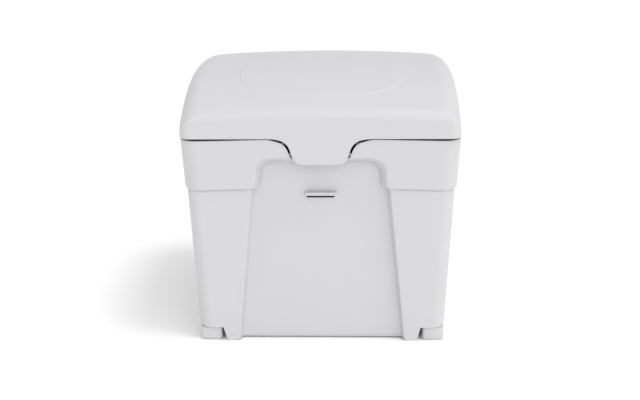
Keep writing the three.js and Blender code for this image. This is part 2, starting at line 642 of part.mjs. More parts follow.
const BELLOWS = { low: DECK.top + PUMP.flangeThick + 2 * GAP, high: 369, outer: 19, inner: 14, folds: 4 };
const makeBellows = () => {
  const { low, high, outer, inner, folds } = BELLOWS;
  const step = (high - low) / (2 * folds);
  const skin = Array.from({ length: 2 * folds + 1 }, (_, i) => [
    i % 2 ? outer : inner + 1.5,
    low + i * step,
  ]);
  const lining = skin.map(([r, z]) => [r - 1.5, z]).reverse();
  return lathe([...skin, ...lining, skin[0]], CORNER_FITTING.x, CORNER_FITTING.y, 16);
};
addPart("pump_bellows", makeBellows(), RUBBER);

const makePumpButton = () => {
  const { x, y } = CORNER_FITTING;
  return rod("z", BELLOWS.high + GAP, BELLOWS.high + 7, x, y, 23, 36)
    .subtract(rod("z", BELLOWS.high + 5.5, BELLOWS.high + 9, x, y, 18, 36))
    .add(rod("z", PUMP.low + 30, BELLOWS.high + 1, x, y, 4, 16))
    .add(rod("z", PUMP.low + 30, PUMP.low + 30 + PUMP.piston, x, y, PUMP.bore - 0.6, 24));
};
addPart("pump_button", makePumpButton(), DARK_GREY);

const hosePath = new THREE.CatmullRomCurve3(
  [[137.6, 150], [126, 150], [100, 147], [70, 141], [40, 138], [18, 137], [6.4, 137]].map(
    ([x, y]) => new THREE.Vector3(x, y, HOSE_Z),
  ),
);
const makeHose = () => {
  const section = new THREE.Shape().absarc(0, 0, HOSE_R, 0, 2 * Math.PI);
  const sweep = { steps: 14, curveSegments: 8, bevelEnabled: false, extrudePath: hosePath };
  return toSolid(new THREE.ExtrudeGeometry(section, sweep));
};
addPart("flush_hose", makeHose(), HOSE);

const makeNozzle = () =>
  box(-6, 6, 117, 143, HOSE_Z - 6, HOSE_Z + 6)
    .subtract(rod("x", -1, 8, 137, HOSE_Z, 2.6, 16))
    .subtract(rod("y", 110, 138, 0, HOSE_Z, 2.6, 16));
addPart("flush_nozzle", makeNozzle(), DARK_GREY);

// ---------------------------------------------------------------- hinges
const LUG = { seat: [88, 108], lid: [112, 132], ears: [[76, 84], [136, 144]] };
const barrel = (x0, x1, r = HINGE.r) => rod("x", x0, x1, HINGE.y, HINGE.z, r, 16);
const pinHole = barrel(60, 160, HINGE.pin + 0.25);

const makeHingeBracket = () => {
  const wall = bandLevel(BAND.top).halfY + MID_Y + GAP;
  const base = box(LUG.ears[0][0] - 4, LUG.ears[1][1] + 4, wall, wall + 3, 306, HINGE.z - HINGE.r - 4);
  const ear = ([x0, x1]) =>
    sidePlate(
      [
        [wall, 318], [wall + 3, 318], [HINGE.y + 5.6, HINGE.z - 2], [HINGE.y, HINGE.z],
        [wall + 0.4, HINGE.z - 2], [wall, 336],
      ],
      x0, x1,
    ).add(barrel(x0, x1));
  return base.add(ear(LUG.ears[0])).add(ear(LUG.ears[1])).subtract(pinHole);
};
for (const [name, side] of [["left", -1], ["right", 1]]) {
  const bracket = makeHingeBracket();
  const pin = barrel(LUG.ears[0][0] - 1, LUG.ears[1][1] + 1, HINGE.pin);
  addPart(`hinge_bracket_${name}`, side < 0 ? mirrored(bracket) : bracket, LIGHT_GREY);
  addPart(`hinge_pin_${name}`, side < 0 ? mirrored(pin) : pin, STEEL);
}

// ---------------------------------------------------------------- seat
const makeSeat = () => {
  const { low, high, halfX, halfY, y, holeX, holeY } = SEAT;
  const profile = [[-4, low], [0, low + 5], [0, high - 8], [-3, high - 2.5], [-10, high]];
  const outside = loft(profile.map(([out, z]) => ellipse(halfX + out, halfY + out, y, z, 48, 2.4)));
  const opening = loft(
    [[0, low - 1], [0, high - 6], [3, high - 1.5], [8, high + 1]].map(([out, z]) =>
      ellipse(holeX + out, holeY + out, y, z, 48, 2.1),
    ),
  );
  const lug = sidePlate(
    [
      [120, low + 1], [120, low + 9], [HINGE.y - 8, low + 7], [HINGE.y, HINGE.z + HINGE.r], [HINGE.y, low],
      [130, low],
    ],
    LUG.seat[0], LUG.seat[1],
  ).add(barrel(LUG.seat[0], LUG.seat[1]));
  return outside.add(both(lug)).subtract(opening).subtract(both(pinHole));
};
addPart("seat_ring", makeSeat(), WHITE);

const BUFFER = { r: 7, low: DECK.top + GAP + FLANGE.thick + GAP, high: SEAT.low - GAP };
[[-1, -1], [1, -1], [-1, 1], [1, 1]].forEach(([sx, sy], i) => {
  const [x, y] = [sx * 88, BOWL.shift + sy * 112];
  addPart(`seat_buffer_${i + 1}`, rod("z", BUFFER.low, BUFFER.high, x, y, BUFFER.r, 20), RUBBER);
});

// ---------------------------------------------------------------- lid
const lidDepth = LID.back - LID.front;
const domeCurve = (() => {
  const { front, frontPull, backPull, back } = LID_RISE;
  const corners = [[0, front], frontPull, [lidDepth - backPull[0], backPull[1]], [lidDepth, back]];
  return new THREE.CubicBezierCurve(...corners.map(([y, z]) => new THREE.Vector2(y, z)));
})();
// Height of the dome over a point: the side profile, found by halving, with a crown across the width.
const domeTop = (x, y) => {
  const target = Math.min(Math.max(y - LID.front, 0), lidDepth);
  let [low, high] = [0, 1];
  for (let i = 0; i < 30; i++) {
    const t = (low + high) / 2;
    if (domeCurve.getPoint(t).x < target) low = t;
    else high = t;
  }
  return LID.low + domeCurve.getPoint(low).y + LID_RISE.crown * (1 - (x / LID.halfX) ** 2);
};

const straightened = (outline, divisions) =>
  outline.flatMap((a, i) => {
    const b = outline[(i + 1) % outline.length];
    const long = Math.hypot(b[0] - a[0], b[1] - a[1]) > 60;
    const parts = long ? divisions : 1;
    return Array.from({ length: parts }, (_, k) => a.map((v, n) => v + ((b[n] - v) * k) / parts));
  });

const lidRing = (inset, bend) => {
  const round = 1 - Math.cos(bend);
  const { front, side, back, frontCorner, backCorner } = LID_EDGE;
  const base = roundedOutline(
    LID.halfX - inset - side * round,
    LID.front + inset + front * round,
    LID.back - inset - back * round,
    frontCorner - inset, backCorner - inset, 4,
  );
  const steps = 5;
  const edge = base.map((_, i) => {
    const quarter = Math.floor(i / steps) - 1 + (i % steps) / (steps - 1);
    const a = quarter * (Math.PI / 2);
    const facing = Math.sin(a) < 0 ? front : back;
    return side * Math.cos(a) ** 2 + facing * Math.sin(a) ** 2;
  });
  const points = base.map(([x, y], i) => [x, y, edge[i] * (1 - Math.sin(bend))]);
  return straightened(points, 7).map(([x, y, drop]) => [x, y, domeTop(x, y) - drop - inset]);
};

const lidSolid = (inset, low) => {
  const bends = [0, 1 / 3, 2 / 3, 1].map((t) => (t * Math.PI) / 2);
  const edgeRings = bends.map((bend) => lidRing(inset, bend));
  const top = edgeRings.at(-1);
  const centreY = (LID.front + LID.back) / 2;
  const roof = [0.7, 0.3].map((scale) =>
    top
      .map(([x, y]) => [x * scale, centreY + (y - centreY) * scale])
      .map(([x, y]) => [x, y, domeTop(x, y) - inset]),
  );
  const foot = edgeRings[0].map(([x, y]) => [x, y, low]);
  return loft([foot, ...edgeRings, ...roof]);
};

const makeLid = () => {
  const tab = plate(tabOutline(0), TAB.front, TAB.back);
  const notch = ([x0, x1]) =>
    both(box(x0, x1, HINGE.y - 20, HINGE.y + 10, LID.low - 10, LID.low + 11));
  const knuckle = barrel(LUG.lid[0], LUG.lid[1]).add(
    sidePlate(
      [
        [LID.back - 3, HINGE.z + 1], [HINGE.y, HINGE.z], [HINGE.y + 3, HINGE.z + 5],
        [LID.back - 1, HINGE.z + 18],
      ],
      LUG.lid[0], LUG.lid[1],
    ),
  );
  return lidSolid(0, LID.low)
    .subtract(lidSolid(LID.wall, LID.low - 5))
    .add(tab)
    .subtract(notch([LUG.seat[0] - 2, LUG.seat[1] + 2]))
    .add(both(knuckle))
    .subtract(both(pinHole));
};
addPart("lid_shell", makeLid(), WHITE);

[["left", -1], ["right", 1]].forEach(([name, side]) => {
  const frontInside = LID.front + LID.wall + GAP;
  const foot = box(-9, 9, frontInside + 2, frontInside + 8, DECK.top + GAP, LID.low + 4);
  const pad = foot.add(box(-9, 9, frontInside, frontInside + 3, LID.low + 1, LID.low + 8));
  addPart(`lid_buffer_${name}`, pad.translate([side * 120, 0, 0]), RUBBER);
});

export default root;
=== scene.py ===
# Looks for the portable cassette toilet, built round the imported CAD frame.
# Shapes are worked out in millimetres, in the frame's own directions: +X to the right seen from the
# front, +Y to the back, +Z up, with the floor at Z 0. MM turns them into metres.
import json
import math

import bmesh
import bpy
import numpy as np
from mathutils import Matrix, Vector


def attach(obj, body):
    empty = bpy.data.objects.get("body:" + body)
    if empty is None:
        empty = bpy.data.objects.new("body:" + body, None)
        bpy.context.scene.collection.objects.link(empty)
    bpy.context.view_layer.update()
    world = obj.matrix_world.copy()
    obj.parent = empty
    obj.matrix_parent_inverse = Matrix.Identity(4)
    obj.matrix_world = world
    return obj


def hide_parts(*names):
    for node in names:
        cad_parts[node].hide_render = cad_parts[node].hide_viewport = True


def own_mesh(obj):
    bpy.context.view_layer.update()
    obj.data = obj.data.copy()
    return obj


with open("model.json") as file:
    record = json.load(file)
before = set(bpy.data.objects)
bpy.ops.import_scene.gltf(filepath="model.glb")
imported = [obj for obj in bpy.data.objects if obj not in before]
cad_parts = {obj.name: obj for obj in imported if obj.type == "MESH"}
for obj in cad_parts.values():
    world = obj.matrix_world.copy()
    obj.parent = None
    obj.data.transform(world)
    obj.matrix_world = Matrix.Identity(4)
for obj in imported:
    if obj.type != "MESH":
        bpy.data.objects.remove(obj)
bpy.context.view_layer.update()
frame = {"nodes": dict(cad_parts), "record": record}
MM = 0.001

# ---------------------------------------------------------------- driving dimensions, in millimetres
MID_Y = -5.0  # middle of both shells, front to back
WALL = 3.0
BODY = {"half_x": 197.5, "half_y": 191.5, "draft_x": 0.049, "draft": 0.04, "corner": 21.0}
COLLAR = {"inset": 2.4, "top": 285.0}
BAND = {"half_x": 218.0, "half_y": 210.0, "draft": 0.06, "corner": 27.0, "bottom": 261.5, "top": 341.0}
SKIRT_TOP = 340.6
DROOP = 2.0  # how far the skirt's lower edge sinks from the arch to the corners
TAB_GAP = 3.0  # between the lid's tab and the skirt beside it
RECESS = {"depth": 12.0, "outer": 134.5, "outer_slope": 0.097, "inner": 129.0, "inner_slope": 0.111}
ARCH_FOOT = 254.0  # where the recess sides turn into the arch
ARCH_OUTER = [(72, 316.5), (98, 316.5), (108, 292), (109.9, ARCH_FOOT)]
ARCH_INNER = [(62, 308.5), (90, 308.5), (99.6, 290), (100.8, ARCH_FOOT)]
HOOD = {"depth": 11.5, "wall": 2.2}  # the skirt's arch
# The first four points of each hood line steer a curve, the others are joined by straight lines.
HOOD_OUTER = [(74, 315), (92, 315), (104, 306), (104, 290)]
HOOD_OUTER += [(104.4, 282), (105.5, 272), (107.6, 266), (112, 261.5)]
HOOD_INNER = [(74, 304.6), (85, 304.6), (93.6, 297), (93.8, 284)]
HOOD_INNER += [(94, 278), (94.6, 272), (95.4, 266), (97, 261.5)]
RECESS_LOW = 2.8
CUT = {"low": 154.5, "high": 160.0, "top": 22.9}  # the corner cut-outs beside the legs
EVEN_FROM = 40.0  # above this height the shell's rows are level
POCKET = {"half_x": 130.0, "front": 137.0, "bottom": 140.0, "top": 202.0}
SLOT = {"low": 243.8, "high": 253.8}
LID = {"low": 344.0, "half_x": 216.8, "front": -216.5, "back": 204.7, "rise": 35.0, "crown": 8.2}
LID_PULLS = [(120, 96), (221.2, 86), (421.2, 48.6)]
LID_EDGE = {"front": 10.0, "side": 30.0, "back": 34.0, "front_corner": 16.0, "back_corner": 42.0}
TAB_UPPER = [(78, 344), (58, 343), (52, 338), (47.6, 329)]
TAB_LOWER = [(47.6, 329), (43, 318), (41, 302.8), (29.5, 302.8)]
OVAL = {"centre": 120.0, "half_x": 130.0, "front": 83.0, "back": 194.0, "step": 0.7}
HINGE = {"y": 211.5, "z": 345.0, "r": 6.0}
CORNER = (158.0, 150.0)  # flush filler on the left, pump on the right
SPOUT = {"x": -85.0, "y": 165.0, "z": 171.0, "r": 20.0, "bore": 17.0, "end": 48.0}
VENT = (105.0, 165.0)
HANDLE = {"z": 118.0, "x": 66.0, "y": 200.0, "drop": 42.0}


# ---------------------------------------------------------------- materials
def new_material(name, roughness=0.45, metallic=0.0):
    """A material with a Principled shader. Returns it with its node tree and its shader."""
    material = bpy.data.materials.new(name)
    material.use_nodes = True
    shader = material.node_tree.nodes["Principled BSDF"]
    shader.inputs["Roughness"].default_value = roughness
    shader.inputs["Metallic"].default_value = metallic
    return material, material.node_tree, shader


def add_node(tree, kind, **values):
    node = tree.nodes.new(kind)
    for key, value in values.items():
        if key in node.inputs:
            node.inputs[key].default_value = value
        else:
            setattr(node, key, value)
    return node


def noise(tree, scale, detail=3.0, roughness=0.5):
    """Noise in object space, with the scale in features per metre."""
    place = add_node(tree, "ShaderNodeTexCoord")
    pattern = add_node(tree, "ShaderNodeTexNoise", Scale=scale, Detail=detail, Roughness=roughness)
    tree.links.new(place.outputs["Object"], pattern.inputs["Vector"])
    return pattern.outputs["Fac"]


def ramp(tree, fac, low, high):
    """Turns a 0 to 1 value into a colour between low and high."""
    node = add_node(tree, "ShaderNodeValToRGB")
    for stop, position, colour in zip(node.color_ramp.elements, (0.3, 0.7), (low, high)):
        stop.position = position
        stop.color = (*colour, 1)
    tree.links.new(fac, node.inputs["Fac"])
    return node.outputs["Color"]


def spread(tree, fac, low, high):
    """Maps a 0 to 1 value onto low to high."""
    node = add_node(tree, "ShaderNodeMapRange")
    node.inputs["To Min"].default_value = low
    node.inputs["To Max"].default_value = high
    tree.links.new(fac, node.inputs["Value"])
    return node.outputs["Result"]


GRAIN_SIZE = 2600  # features per metre


def moulded(name, colour, roughness, grain=0.05, shift=0.03, metallic=0.0):
    """A moulded surface: a faint colour drift, uneven gloss, and a fine spark-eroded grain."""
    material, tree, shader = new_material(name, roughness, metallic)
    low = tuple(c * (1 - shift) for c in colour)
    high = tuple(min(c * (1 + shift), 1) for c in colour)
    tree.links.new(ramp(tree, noise(tree, 9, 4), low, high), shader.inputs["Base Color"])
    gloss = spread(tree, noise(tree, 38, 5, 0.6), roughness - 0.06, roughness + 0.06)
    tree.links.new(gloss, shader.inputs["Roughness"])
    bump = add_node(tree, "ShaderNodeBump", Strength=grain, Distance=0.0004)
    tree.links.new(noise(tree, GRAIN_SIZE, 2), bump.inputs["Height"])
    tree.links.new(bump.outputs["Normal"], shader.inputs["Normal"])
    return material


SHELL = moulded("off_white_shell", (0.545, 0.545, 0.56), 0.42, shift=0.006)
LIGHT = moulded("light_grey_moulding", (0.5, 0.51, 0.53), 0.46)
DARK = moulded("dark_grey_moulding", (0.07, 0.076, 0.085), 0.5, grain=0.2)
RUBBER = moulded("black_rubber", (0.02, 0.02, 0.021), 0.8, grain=0.3)
HOSE = moulded("milky_hose", (0.5, 0.55, 0.56), 0.35)
STEEL = moulded("stainless_steel", (0.55, 0.55, 0.56), 0.3, metallic=1.0)
BY_SLOT = {
    "white_shell": SHELL,
    "light_grey_moulding": LIGHT,
    "dark_grey_moulding": DARK,
    "black_rubber": RUBBER,
    "steel": STEEL,
    "clear_hose": HOSE,
}
SLOT_OF = {part["node"]: part["material_slot"] for part in frame["record"]["subparts"]}
BODY_OF = {node: body for body, nodes in frame["record"]["behaviour"]["bodies"].items() for node in nodes}
for node, cad in frame["nodes"].items():
    cad.data.materials.clear()
    cad.data.materials.append(BY_SLOT[SLOT_OF[node]])


# ---------------------------------------------------------------- shapes: (points, faces) in millimetres
def grid(rows, wrap=False, close=False, caps=()):
    """A skin over rows of points. wrap joins each row's ends, close joins the last row to the first."""
    rows = np.asarray(rows, float)
    count, across = rows.shape[:2]
    faces = []
    for r in range(count if close else count - 1):
        for c in range(across if wrap else across - 1):
            here, there = r * across, ((r + 1) % count) * across
            d = (c + 1) % across
            faces.append((here + c, here + d, there + d, there + c))
    if "first" in caps:
        faces.append(tuple(range(across)))
    if "last" in caps:
        faces.append(tuple((count - 1) * across + c for c in range(across)))
    return rows.reshape(-1, 3), faces


def joined(*shapes):
    points, faces = [], []
    for shape_points, shape_faces in shapes:
        start = sum(len(p) for p in points)
        points.append(shape_points)
        faces += [tuple(start + i for i in face) for face in shape_faces]
    return np.concatenate(points), faces


def mirrored(shape):
    points, faces = shape
    return points * (-1, 1, 1), [face[::-1] for face in faces]


def both(shape):
    return joined(shape, mirrored(shape))


def turned_to(shape, axis):
    """Lays a shape that was built along Z along another axis: its outline is then in Y, Z or in X, Z."""
    order = {"z": [0, 1, 2], "x": [2, 0, 1], "y": [0, 2, 1]}[axis]
    return shape[0][:, order], shape[1]


def bezier(controls, steps):
    """Points on a cubic curve, in the plane or in space."""
    p = np.asarray(controls, float)
    t = np.linspace(0, 1, steps + 1)[:, None]
    return (1 - t) ** 3 * p[0] + 3 * t * (1 - t) ** 2 * p[1] + 3 * t**2 * (1 - t) * p[2] + t**3 * p[3]


def soften(points, radius, closed=True, steps=3):
    """Rounds each corner of a polygon or an open line."""
    points = [np.array(p, float) for p in points]
    out = []
    for i, p in enumerate(points):
        if not closed and i in (0, len(points) - 1):
            out.append(p)
            continue
        before, after = points[i - 1] - p, points[(i + 1) % len(points)] - p
        start, end = (p + v * min(radius / np.linalg.norm(v), 0.45) for v in (before, after))
        for t in np.linspace(0, 1, steps + 1):
            out.append((1 - t) ** 2 * start + 2 * t * (1 - t) * p + t * t * end)
    return np.array(out)


def corners_of(x0, x1, y0, y1):
    return [(x0, y0), (x1, y0), (x1, y1), (x0, y1)]


def rounded_rect(x0, x1, y0, y1, r, steps=6):
    corners = [(x1 - r, y0 + r, -90), (x1 - r, y1 - r, 0), (x0 + r, y1 - r, 90), (x0 + r, y0 + r, 180)]
    out = []
    for cx, cy, start in corners:
        for a in np.radians(start + np.linspace(0, 90, steps + 1)):
            out.append((cx + r * math.cos(a), cy + r * math.sin(a)))
    return np.array(out)


def inset_outline(outline, amount):
    """A counter-clockwise outline moved inwards."""
    before = outline - np.roll(outline, 1, 0)
    after = np.roll(outline, -1, 0) - outline
    along = before / np.linalg.norm(before, axis=1)[:, None] + after / np.linalg.norm(after, axis=1)[:, None]
    along /= np.linalg.norm(along, axis=1)[:, None]
    inward = np.stack([-along[:, 1], along[:, 0]], 1)
    return outline + inward * amount


def prism(outline, low, high, edge=0.8, axis="z"):
    """An outline extruded along an axis, with its end edges rounded."""
    outline = np.asarray(outline, float)
    x, y = outline.T
    if np.sum(x * np.roll(y, -1) - y * np.roll(x, -1)) < 0:
        outline = outline[::-1]
    levels = [(edge, low), (0.3 * edge, low + 0.3 * edge), (0, low + edge)]
    levels += [(0, high - edge), (0.3 * edge, high - 0.3 * edge), (edge, high)]
    rows = [np.column_stack([inset_outline(outline, inset), np.full(len(outline), z)]) for inset, z in levels]
    return turned_to(grid(rows, wrap=True, caps=("first", "last")), axis)


def block(x, y, z, corner=1.5, edge=0.8):
    """A box with rounded upright corners and softened top and bottom edges."""
    return prism(rounded_rect(*x, *y, corner, 4), *z, edge)


def lathe(profile, x=0.0, y=0.0, axis="z", sides=64, lobes=0, depth=0.0, closed=False):
    """A profile of (radius, height) turned about an axis through (x, y). lobes press flutes into it."""
    angles = np.linspace(0, 2 * math.pi, sides, endpoint=False)
    rows = []
    for r, z, *flute in profile:
        press = depth * (flute[0] if flute else 0) * (1 - np.cos(lobes * angles)) / 2
        radius = np.maximum(r - press, 0.02)
        across, along = x + radius * np.cos(angles), y + radius * np.sin(angles)
        rows.append(np.column_stack([across, along, np.full(sides, z)]))
    caps = () if closed else ("first", "last")
    return turned_to(grid(rows, wrap=True, close=closed, caps=caps), axis)


def bearing(x0, x1, edge, y, z, sides=40):
    """A pin's eye or knuckle lying along X, with its outer edges rounded."""
    profile = [(3.2, x0), (5.5, x0), (6, x0 + edge), (6, x1 - edge), (5.5, x1), (3.2, x1)]
    return lathe(profile, y, z, "x", sides, closed=True)


def sweep(path, section, flat=(0, 0, 1)):
    """A section of (across, up) carried along a path. flat is a direction that isn't along the path."""
    path = np.asarray(path, float)
    along = np.gradient(path, axis=0)
    along /= np.linalg.norm(along, axis=1)[:, None]
    across = np.cross(along, np.asarray(flat, float))
    across /= np.linalg.norm(across, axis=1)[:, None]
    up = np.cross(across, along)
    return [p + section[:, :1] * a + section[:, 1:] * u for p, a, u in zip(path, across, up)]


def circle(r, sides=32):
    a = np.linspace(0, 2 * math.pi, sides, endpoint=False)
    return np.column_stack([r * np.cos(a), r * np.sin(a)])


def grid_normals(rows, wrap):
    """Unit normals of a grid, to the left of its rows going up."""
    across = np.roll(rows, -1, 1) - np.roll(rows, 1, 1) if wrap else np.gradient(rows, axis=1)
    up = np.gradient(rows, axis=0)
    normals = np.cross(across, up)
    return normals / np.maximum(np.linalg.norm(normals, axis=2), 1e-9)[..., None]


def rim(edge, inner, normals, thickness, reach):
    """Rows that round a sheet's free edge from its outer face to its inner face."""
    out = edge - inner
    length = np.linalg.norm(out, axis=1)[:, None]
    reach = np.minimum(reach, 0.45 * length)
    out = out / np.maximum(length, 1e-9)
    middle = edge - normals * thickness / 2 - out * reach
    turns = np.linspace(0, math.pi, 9)
    return [middle + normals * thickness / 2 * math.cos(t) + out * reach * math.sin(t) for t in turns]


def add_object(name, data):
    thing = bpy.data.objects.new(name, data)
    bpy.context.scene.collection.objects.link(thing)
    return thing


def place(name, shape, material, body, replaces=(), slot=None, sharp=30, thicken=0.0):
    """Makes the piece: a mesh on its body, standing for its CAD nodes."""
    points, faces = shape
    mesh = bpy.data.meshes.new(name)
    mesh.from_pydata([tuple(p) for p in points * MM], [], faces)
    work = bmesh.new()
    work.from_mesh(mesh)
    bmesh.ops.remove_doubles(work, verts=work.verts, dist=2e-6)
    bmesh.ops.dissolve_degenerate(work, edges=work.edges, dist=1e-6)
    bmesh.ops.recalc_face_normals(work, faces=work.faces)
    work.to_mesh(mesh)
    work.free()
    piece = add_object(name, mesh)
    if thicken:
        solidify = piece.modifiers.new("wall", "SOLIDIFY")
        solidify.thickness = thicken * MM
        solidify.offset = -1
        graph = bpy.context.evaluated_depsgraph_get()
        thick = bpy.data.meshes.new_from_object(piece.evaluated_get(graph))
        piece.modifiers.clear()
        piece.data = thick
        mesh = thick
    mesh.shade_smooth()
    mesh.set_sharp_from_angle(angle=math.radians(sharp))
    mesh.materials.clear()
    mesh.materials.append(material)
    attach(piece, body)
    if replaces:
        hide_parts(*replaces)
        slot or SLOT_OF[replaces[0]]
    return piece


def replace(node, shape, **options):
    """A detailed piece in place of one CAD node, in that node's own finish and on its own body."""
    return place(f"{node}_look", shape, BY_SLOT[SLOT_OF[node]], BODY_OF[node], (node,), **options)


def replace_pairs(**right_shapes):
    """Pieces on the right, and their mirror images on the left."""
    for side in ("left", "right"):
        for stem, shape in right_shapes.items():
            replace(f"{stem}_{side}", mirrored(shape) if side == "left" else shape)


# ---------------------------------------------------------------- lid
def dome_rise(y):
    """The lid's side profile: height over its lower edge at a distance along Y."""
    curve = bezier([(0, LID["rise"]), *LID_PULLS], 400)
    return np.interp(y - LID["front"], curve[:, 0], curve[:, 1])


def dome_top(x, y):
    return LID["low"] + dome_rise(y) + LID["crown"] * (1 - (x / LID["half_x"]) ** 2)


def tab_edge():
    """The S-shaped edge of the front tab, from its flat bottom up to the lid's lower edge."""
    lower = bezier(TAB_LOWER, 10)[::-1]
    upper = bezier(TAB_UPPER, 12)[::-1]
    return np.concatenate([lower, upper[1:]])


def lid_columns():
    """The right half of the lid's outline as rows of (x, y, facing angle, height of the lower edge)."""
    edge = LID_EDGE
    x1, y0, y1 = LID["half_x"], LID["front"], LID["back"]
    low = LID["low"]
    columns = [(x, y0, -90, TAB_LOWER[3][1]) for x in (0, 8, 16, 23)]
    columns += [(x, y0, -90, z) for x, z in tab_edge()]
    start = x1 - edge["front_corner"]
    columns += [(x, y0, -90, low) for x in np.linspace(84, start, 16)]
    for a in np.linspace(-90, 0, 15)[1:]:
        r, turn = edge["front_corner"], math.radians(a)
        columns.append((x1 - r + r * math.cos(turn), y0 + r + r * math.sin(turn), a, low))
    side = np.linspace(y0 + edge["front_corner"], y1 - edge["back_corner"], 30)
    columns += [(x1, y, 0, low) for y in side[1:]]
    for a in np.linspace(0, 90, 17)[1:]:
        r, turn = edge["back_corner"], math.radians(a)
        columns.append((x1 - r + r * math.cos(turn), y1 - r + r * math.sin(turn), a, low))
    notch = [(150, low), (130, low), (112.2, low), (110, low), (109.8, low + 11), (98, low + 11)]
    notch += [(86.2, low + 11), (86, low), (60, low), (30, low), (0, low)]
    columns += [(x, y1, 90, z) for x, z in notch]
    return np.array(columns, float)


def oval_radius(angle):
    """Distance from the oval's middle to its line. It is blunter at the front."""
    sine = np.sin(angle)
    power = np.where(sine < 0, 3.0, 1.8)
    long = np.where(sine < 0, OVAL["front"], OVAL["back"])
    across = np.abs(np.cos(angle)) / OVAL["half_x"]
    return (across**power + (np.abs(sine) / long) ** power) ** (-1 / power)


def lid_rows():
    """The lid's outer face, from its lower edge up to the middle of the dome, right half only."""
    x0, y0, facing, low = lid_columns().T
    edge = LID_EDGE
    turn = np.radians(facing)
    front_or_back = np.where(np.sin(turn) < 0, edge["front"], edge["back"])
    fillet = edge["side"] * np.cos(turn) ** 2 + front_or_back * np.sin(turn) ** 2
    is_front, is_back = facing == -90, facing == 90
    straight = np.where(is_front, LID["half_x"] - edge["front_corner"], LID["half_x"] - edge["back_corner"])
    share_x = np.where(is_front | is_back, x0 / straight, 1.0)
    run_start, run_end = LID["front"] + edge["front_corner"], LID["back"] - edge["back_corner"]
    share_back = np.clip((y0 - run_start) / (run_end - run_start), 0, 1)

    def ring(bend):
        inward = 1 - math.cos(bend)
        x = x0 - edge["side"] * inward * share_x
        y = y0 + inward * (edge["front"] * (1 - share_back) - edge["back"] * share_back)
        return np.column_stack([x, y, dome_top(x, y) - fillet * (1 - math.sin(bend))])

    top_of_wall = ring(0)[:, 2]
    rows = []
    for share in (0, 0.07, 0.2, 0.4, 0.6, 0.8):
        z = low + (top_of_wall - low) * share
        lean = np.where(is_front, 0.02 * np.maximum(LID["low"] - z, 0), 0)
        rows.append(np.column_stack([x0, y0 - lean, z]))
    rows += [ring(bend) for bend in np.radians(np.linspace(0, 90, 16))]
    shoulder = rows[-1][:, :2]
    middle = np.array([0, LID["front"] + OVAL["centre"]])
    reach = shoulder - middle
    angle = np.arctan2(reach[:, 1], reach[:, 0])
    oval = middle + oval_radius(angle)[:, None] * np.column_stack([np.cos(angle), np.sin(angle)])

    def on_dome(points, lift=0.0):
        return np.column_stack([points, dome_top(points[:, 0], points[:, 1]) + lift])

    rows += [on_dome(shoulder + (oval - shoulder) * share) for share in np.linspace(0, 1, 14)[1:]]
    for step_in, lift in ((0.5, 0.12), (1.0, 0.5), (1.5, 0.9), (2.1, 1.0)):
        pulled = middle + (oval - middle) * (1 - step_in / oval_radius(angle))[:, None]
        rows.append(on_dome(pulled, OVAL["step"] * lift))
    inner = rows[-1][:, :2]
    for share in np.linspace(1, 0.02, 18)[1:]:
        rows.append(on_dome(middle + (inner - middle) * share, OVAL["step"]))
    return np.array(rows)


def full_round(rows):
    """Adds the mirrored left half to rows that run from the middle of the front to that of the back."""
    left = rows[:, 1:-1][:, ::-1] * (-1, 1, 1)
    return np.concatenate([rows, left], axis=1)


def make_lid():
    outer = full_round(lid_rows())
    normals = grid_normals(outer, wrap=True)
    normals[0] = normals[1]
    inner = outer - normals * WALL
    lip = rim(outer[0], outer[1], normals[0], WALL, 1.2)
    rows = [*outer[:0:-1], *lip, *inner[1:]]
    skin = grid(rows, wrap=True, caps=("first", "last"))
    knuckle = lathe(
        soften([(0.02, 112), (HINGE["r"], 112), (HINGE["r"], 132), (0.02, 132)], 0.8, False),
        HINGE["y"], HINGE["z"], "x", 40,
    )
    arm = [(LID["back"] - 2.6, 346), (HINGE["y"] - 1, 340), (HINGE["y"] + 4.5, 349), (LID["back"] - 1, 366)]
    web = prism(soften(arm, 1.5), 112.4, 131.6, 0.6, "x")
    return joined(skin, both(joined(knuckle, web)))


place("lid_moulding", make_lid(), SHELL, "lid", ("lid_shell",), sharp=38)


# ---------------------------------------------------------------- upper unit's skirt and deck
def band_point(along, z, inset=0.0):
    """A point of the skirt's outer face. along is measured from the middle of the front round to the back."""
    r = BAND["corner"]
    shrink = BAND["draft"] * (BAND["top"] - z) + inset
    x1, y1 = BAND["half_x"] - shrink, BAND["half_y"] - shrink
    front = BAND["half_x"] - r
    arc = r * math.pi / 2
    side = 2 * (BAND["half_y"] - r)
    if along <= front:
        return along - shrink * max(0, along - 150) / (front - 150), MID_Y - y1, z
    if along <= front + arc:
        a = (along - front) / r
        return x1 - r + r * math.sin(a), MID_Y - y1 + r - r * math.cos(a), z
    if along <= front + arc + side:
        share = (along - front - arc) / side
        return x1, MID_Y + (y1 - r) * (2 * share - 1), z
    if along <= front + 2 * arc + side:
        a = (along - front - arc - side) / r
        return x1 - r + r * math.cos(a), MID_Y + y1 - r + r * math.sin(a), z
    rest = 2 * front + 2 * arc + side - along
    return rest * (front - shrink) / front, MID_Y + y1, z


def hood_lines():
    """The outer and inner line of the skirt's arch as (x, z), from beside the tab down to its foot."""
    along_top = (0, 20, 40, 45.5, *np.linspace(47.5, 72, 18))
    lines = []
    for corners in (HOOD_OUTER, HOOD_INNER):
        flat = [(x, corners[0][1]) for x in along_top]
        lines.append(np.concatenate([flat, bezier(corners[:4], 24), corners[4:]]))
    return lines


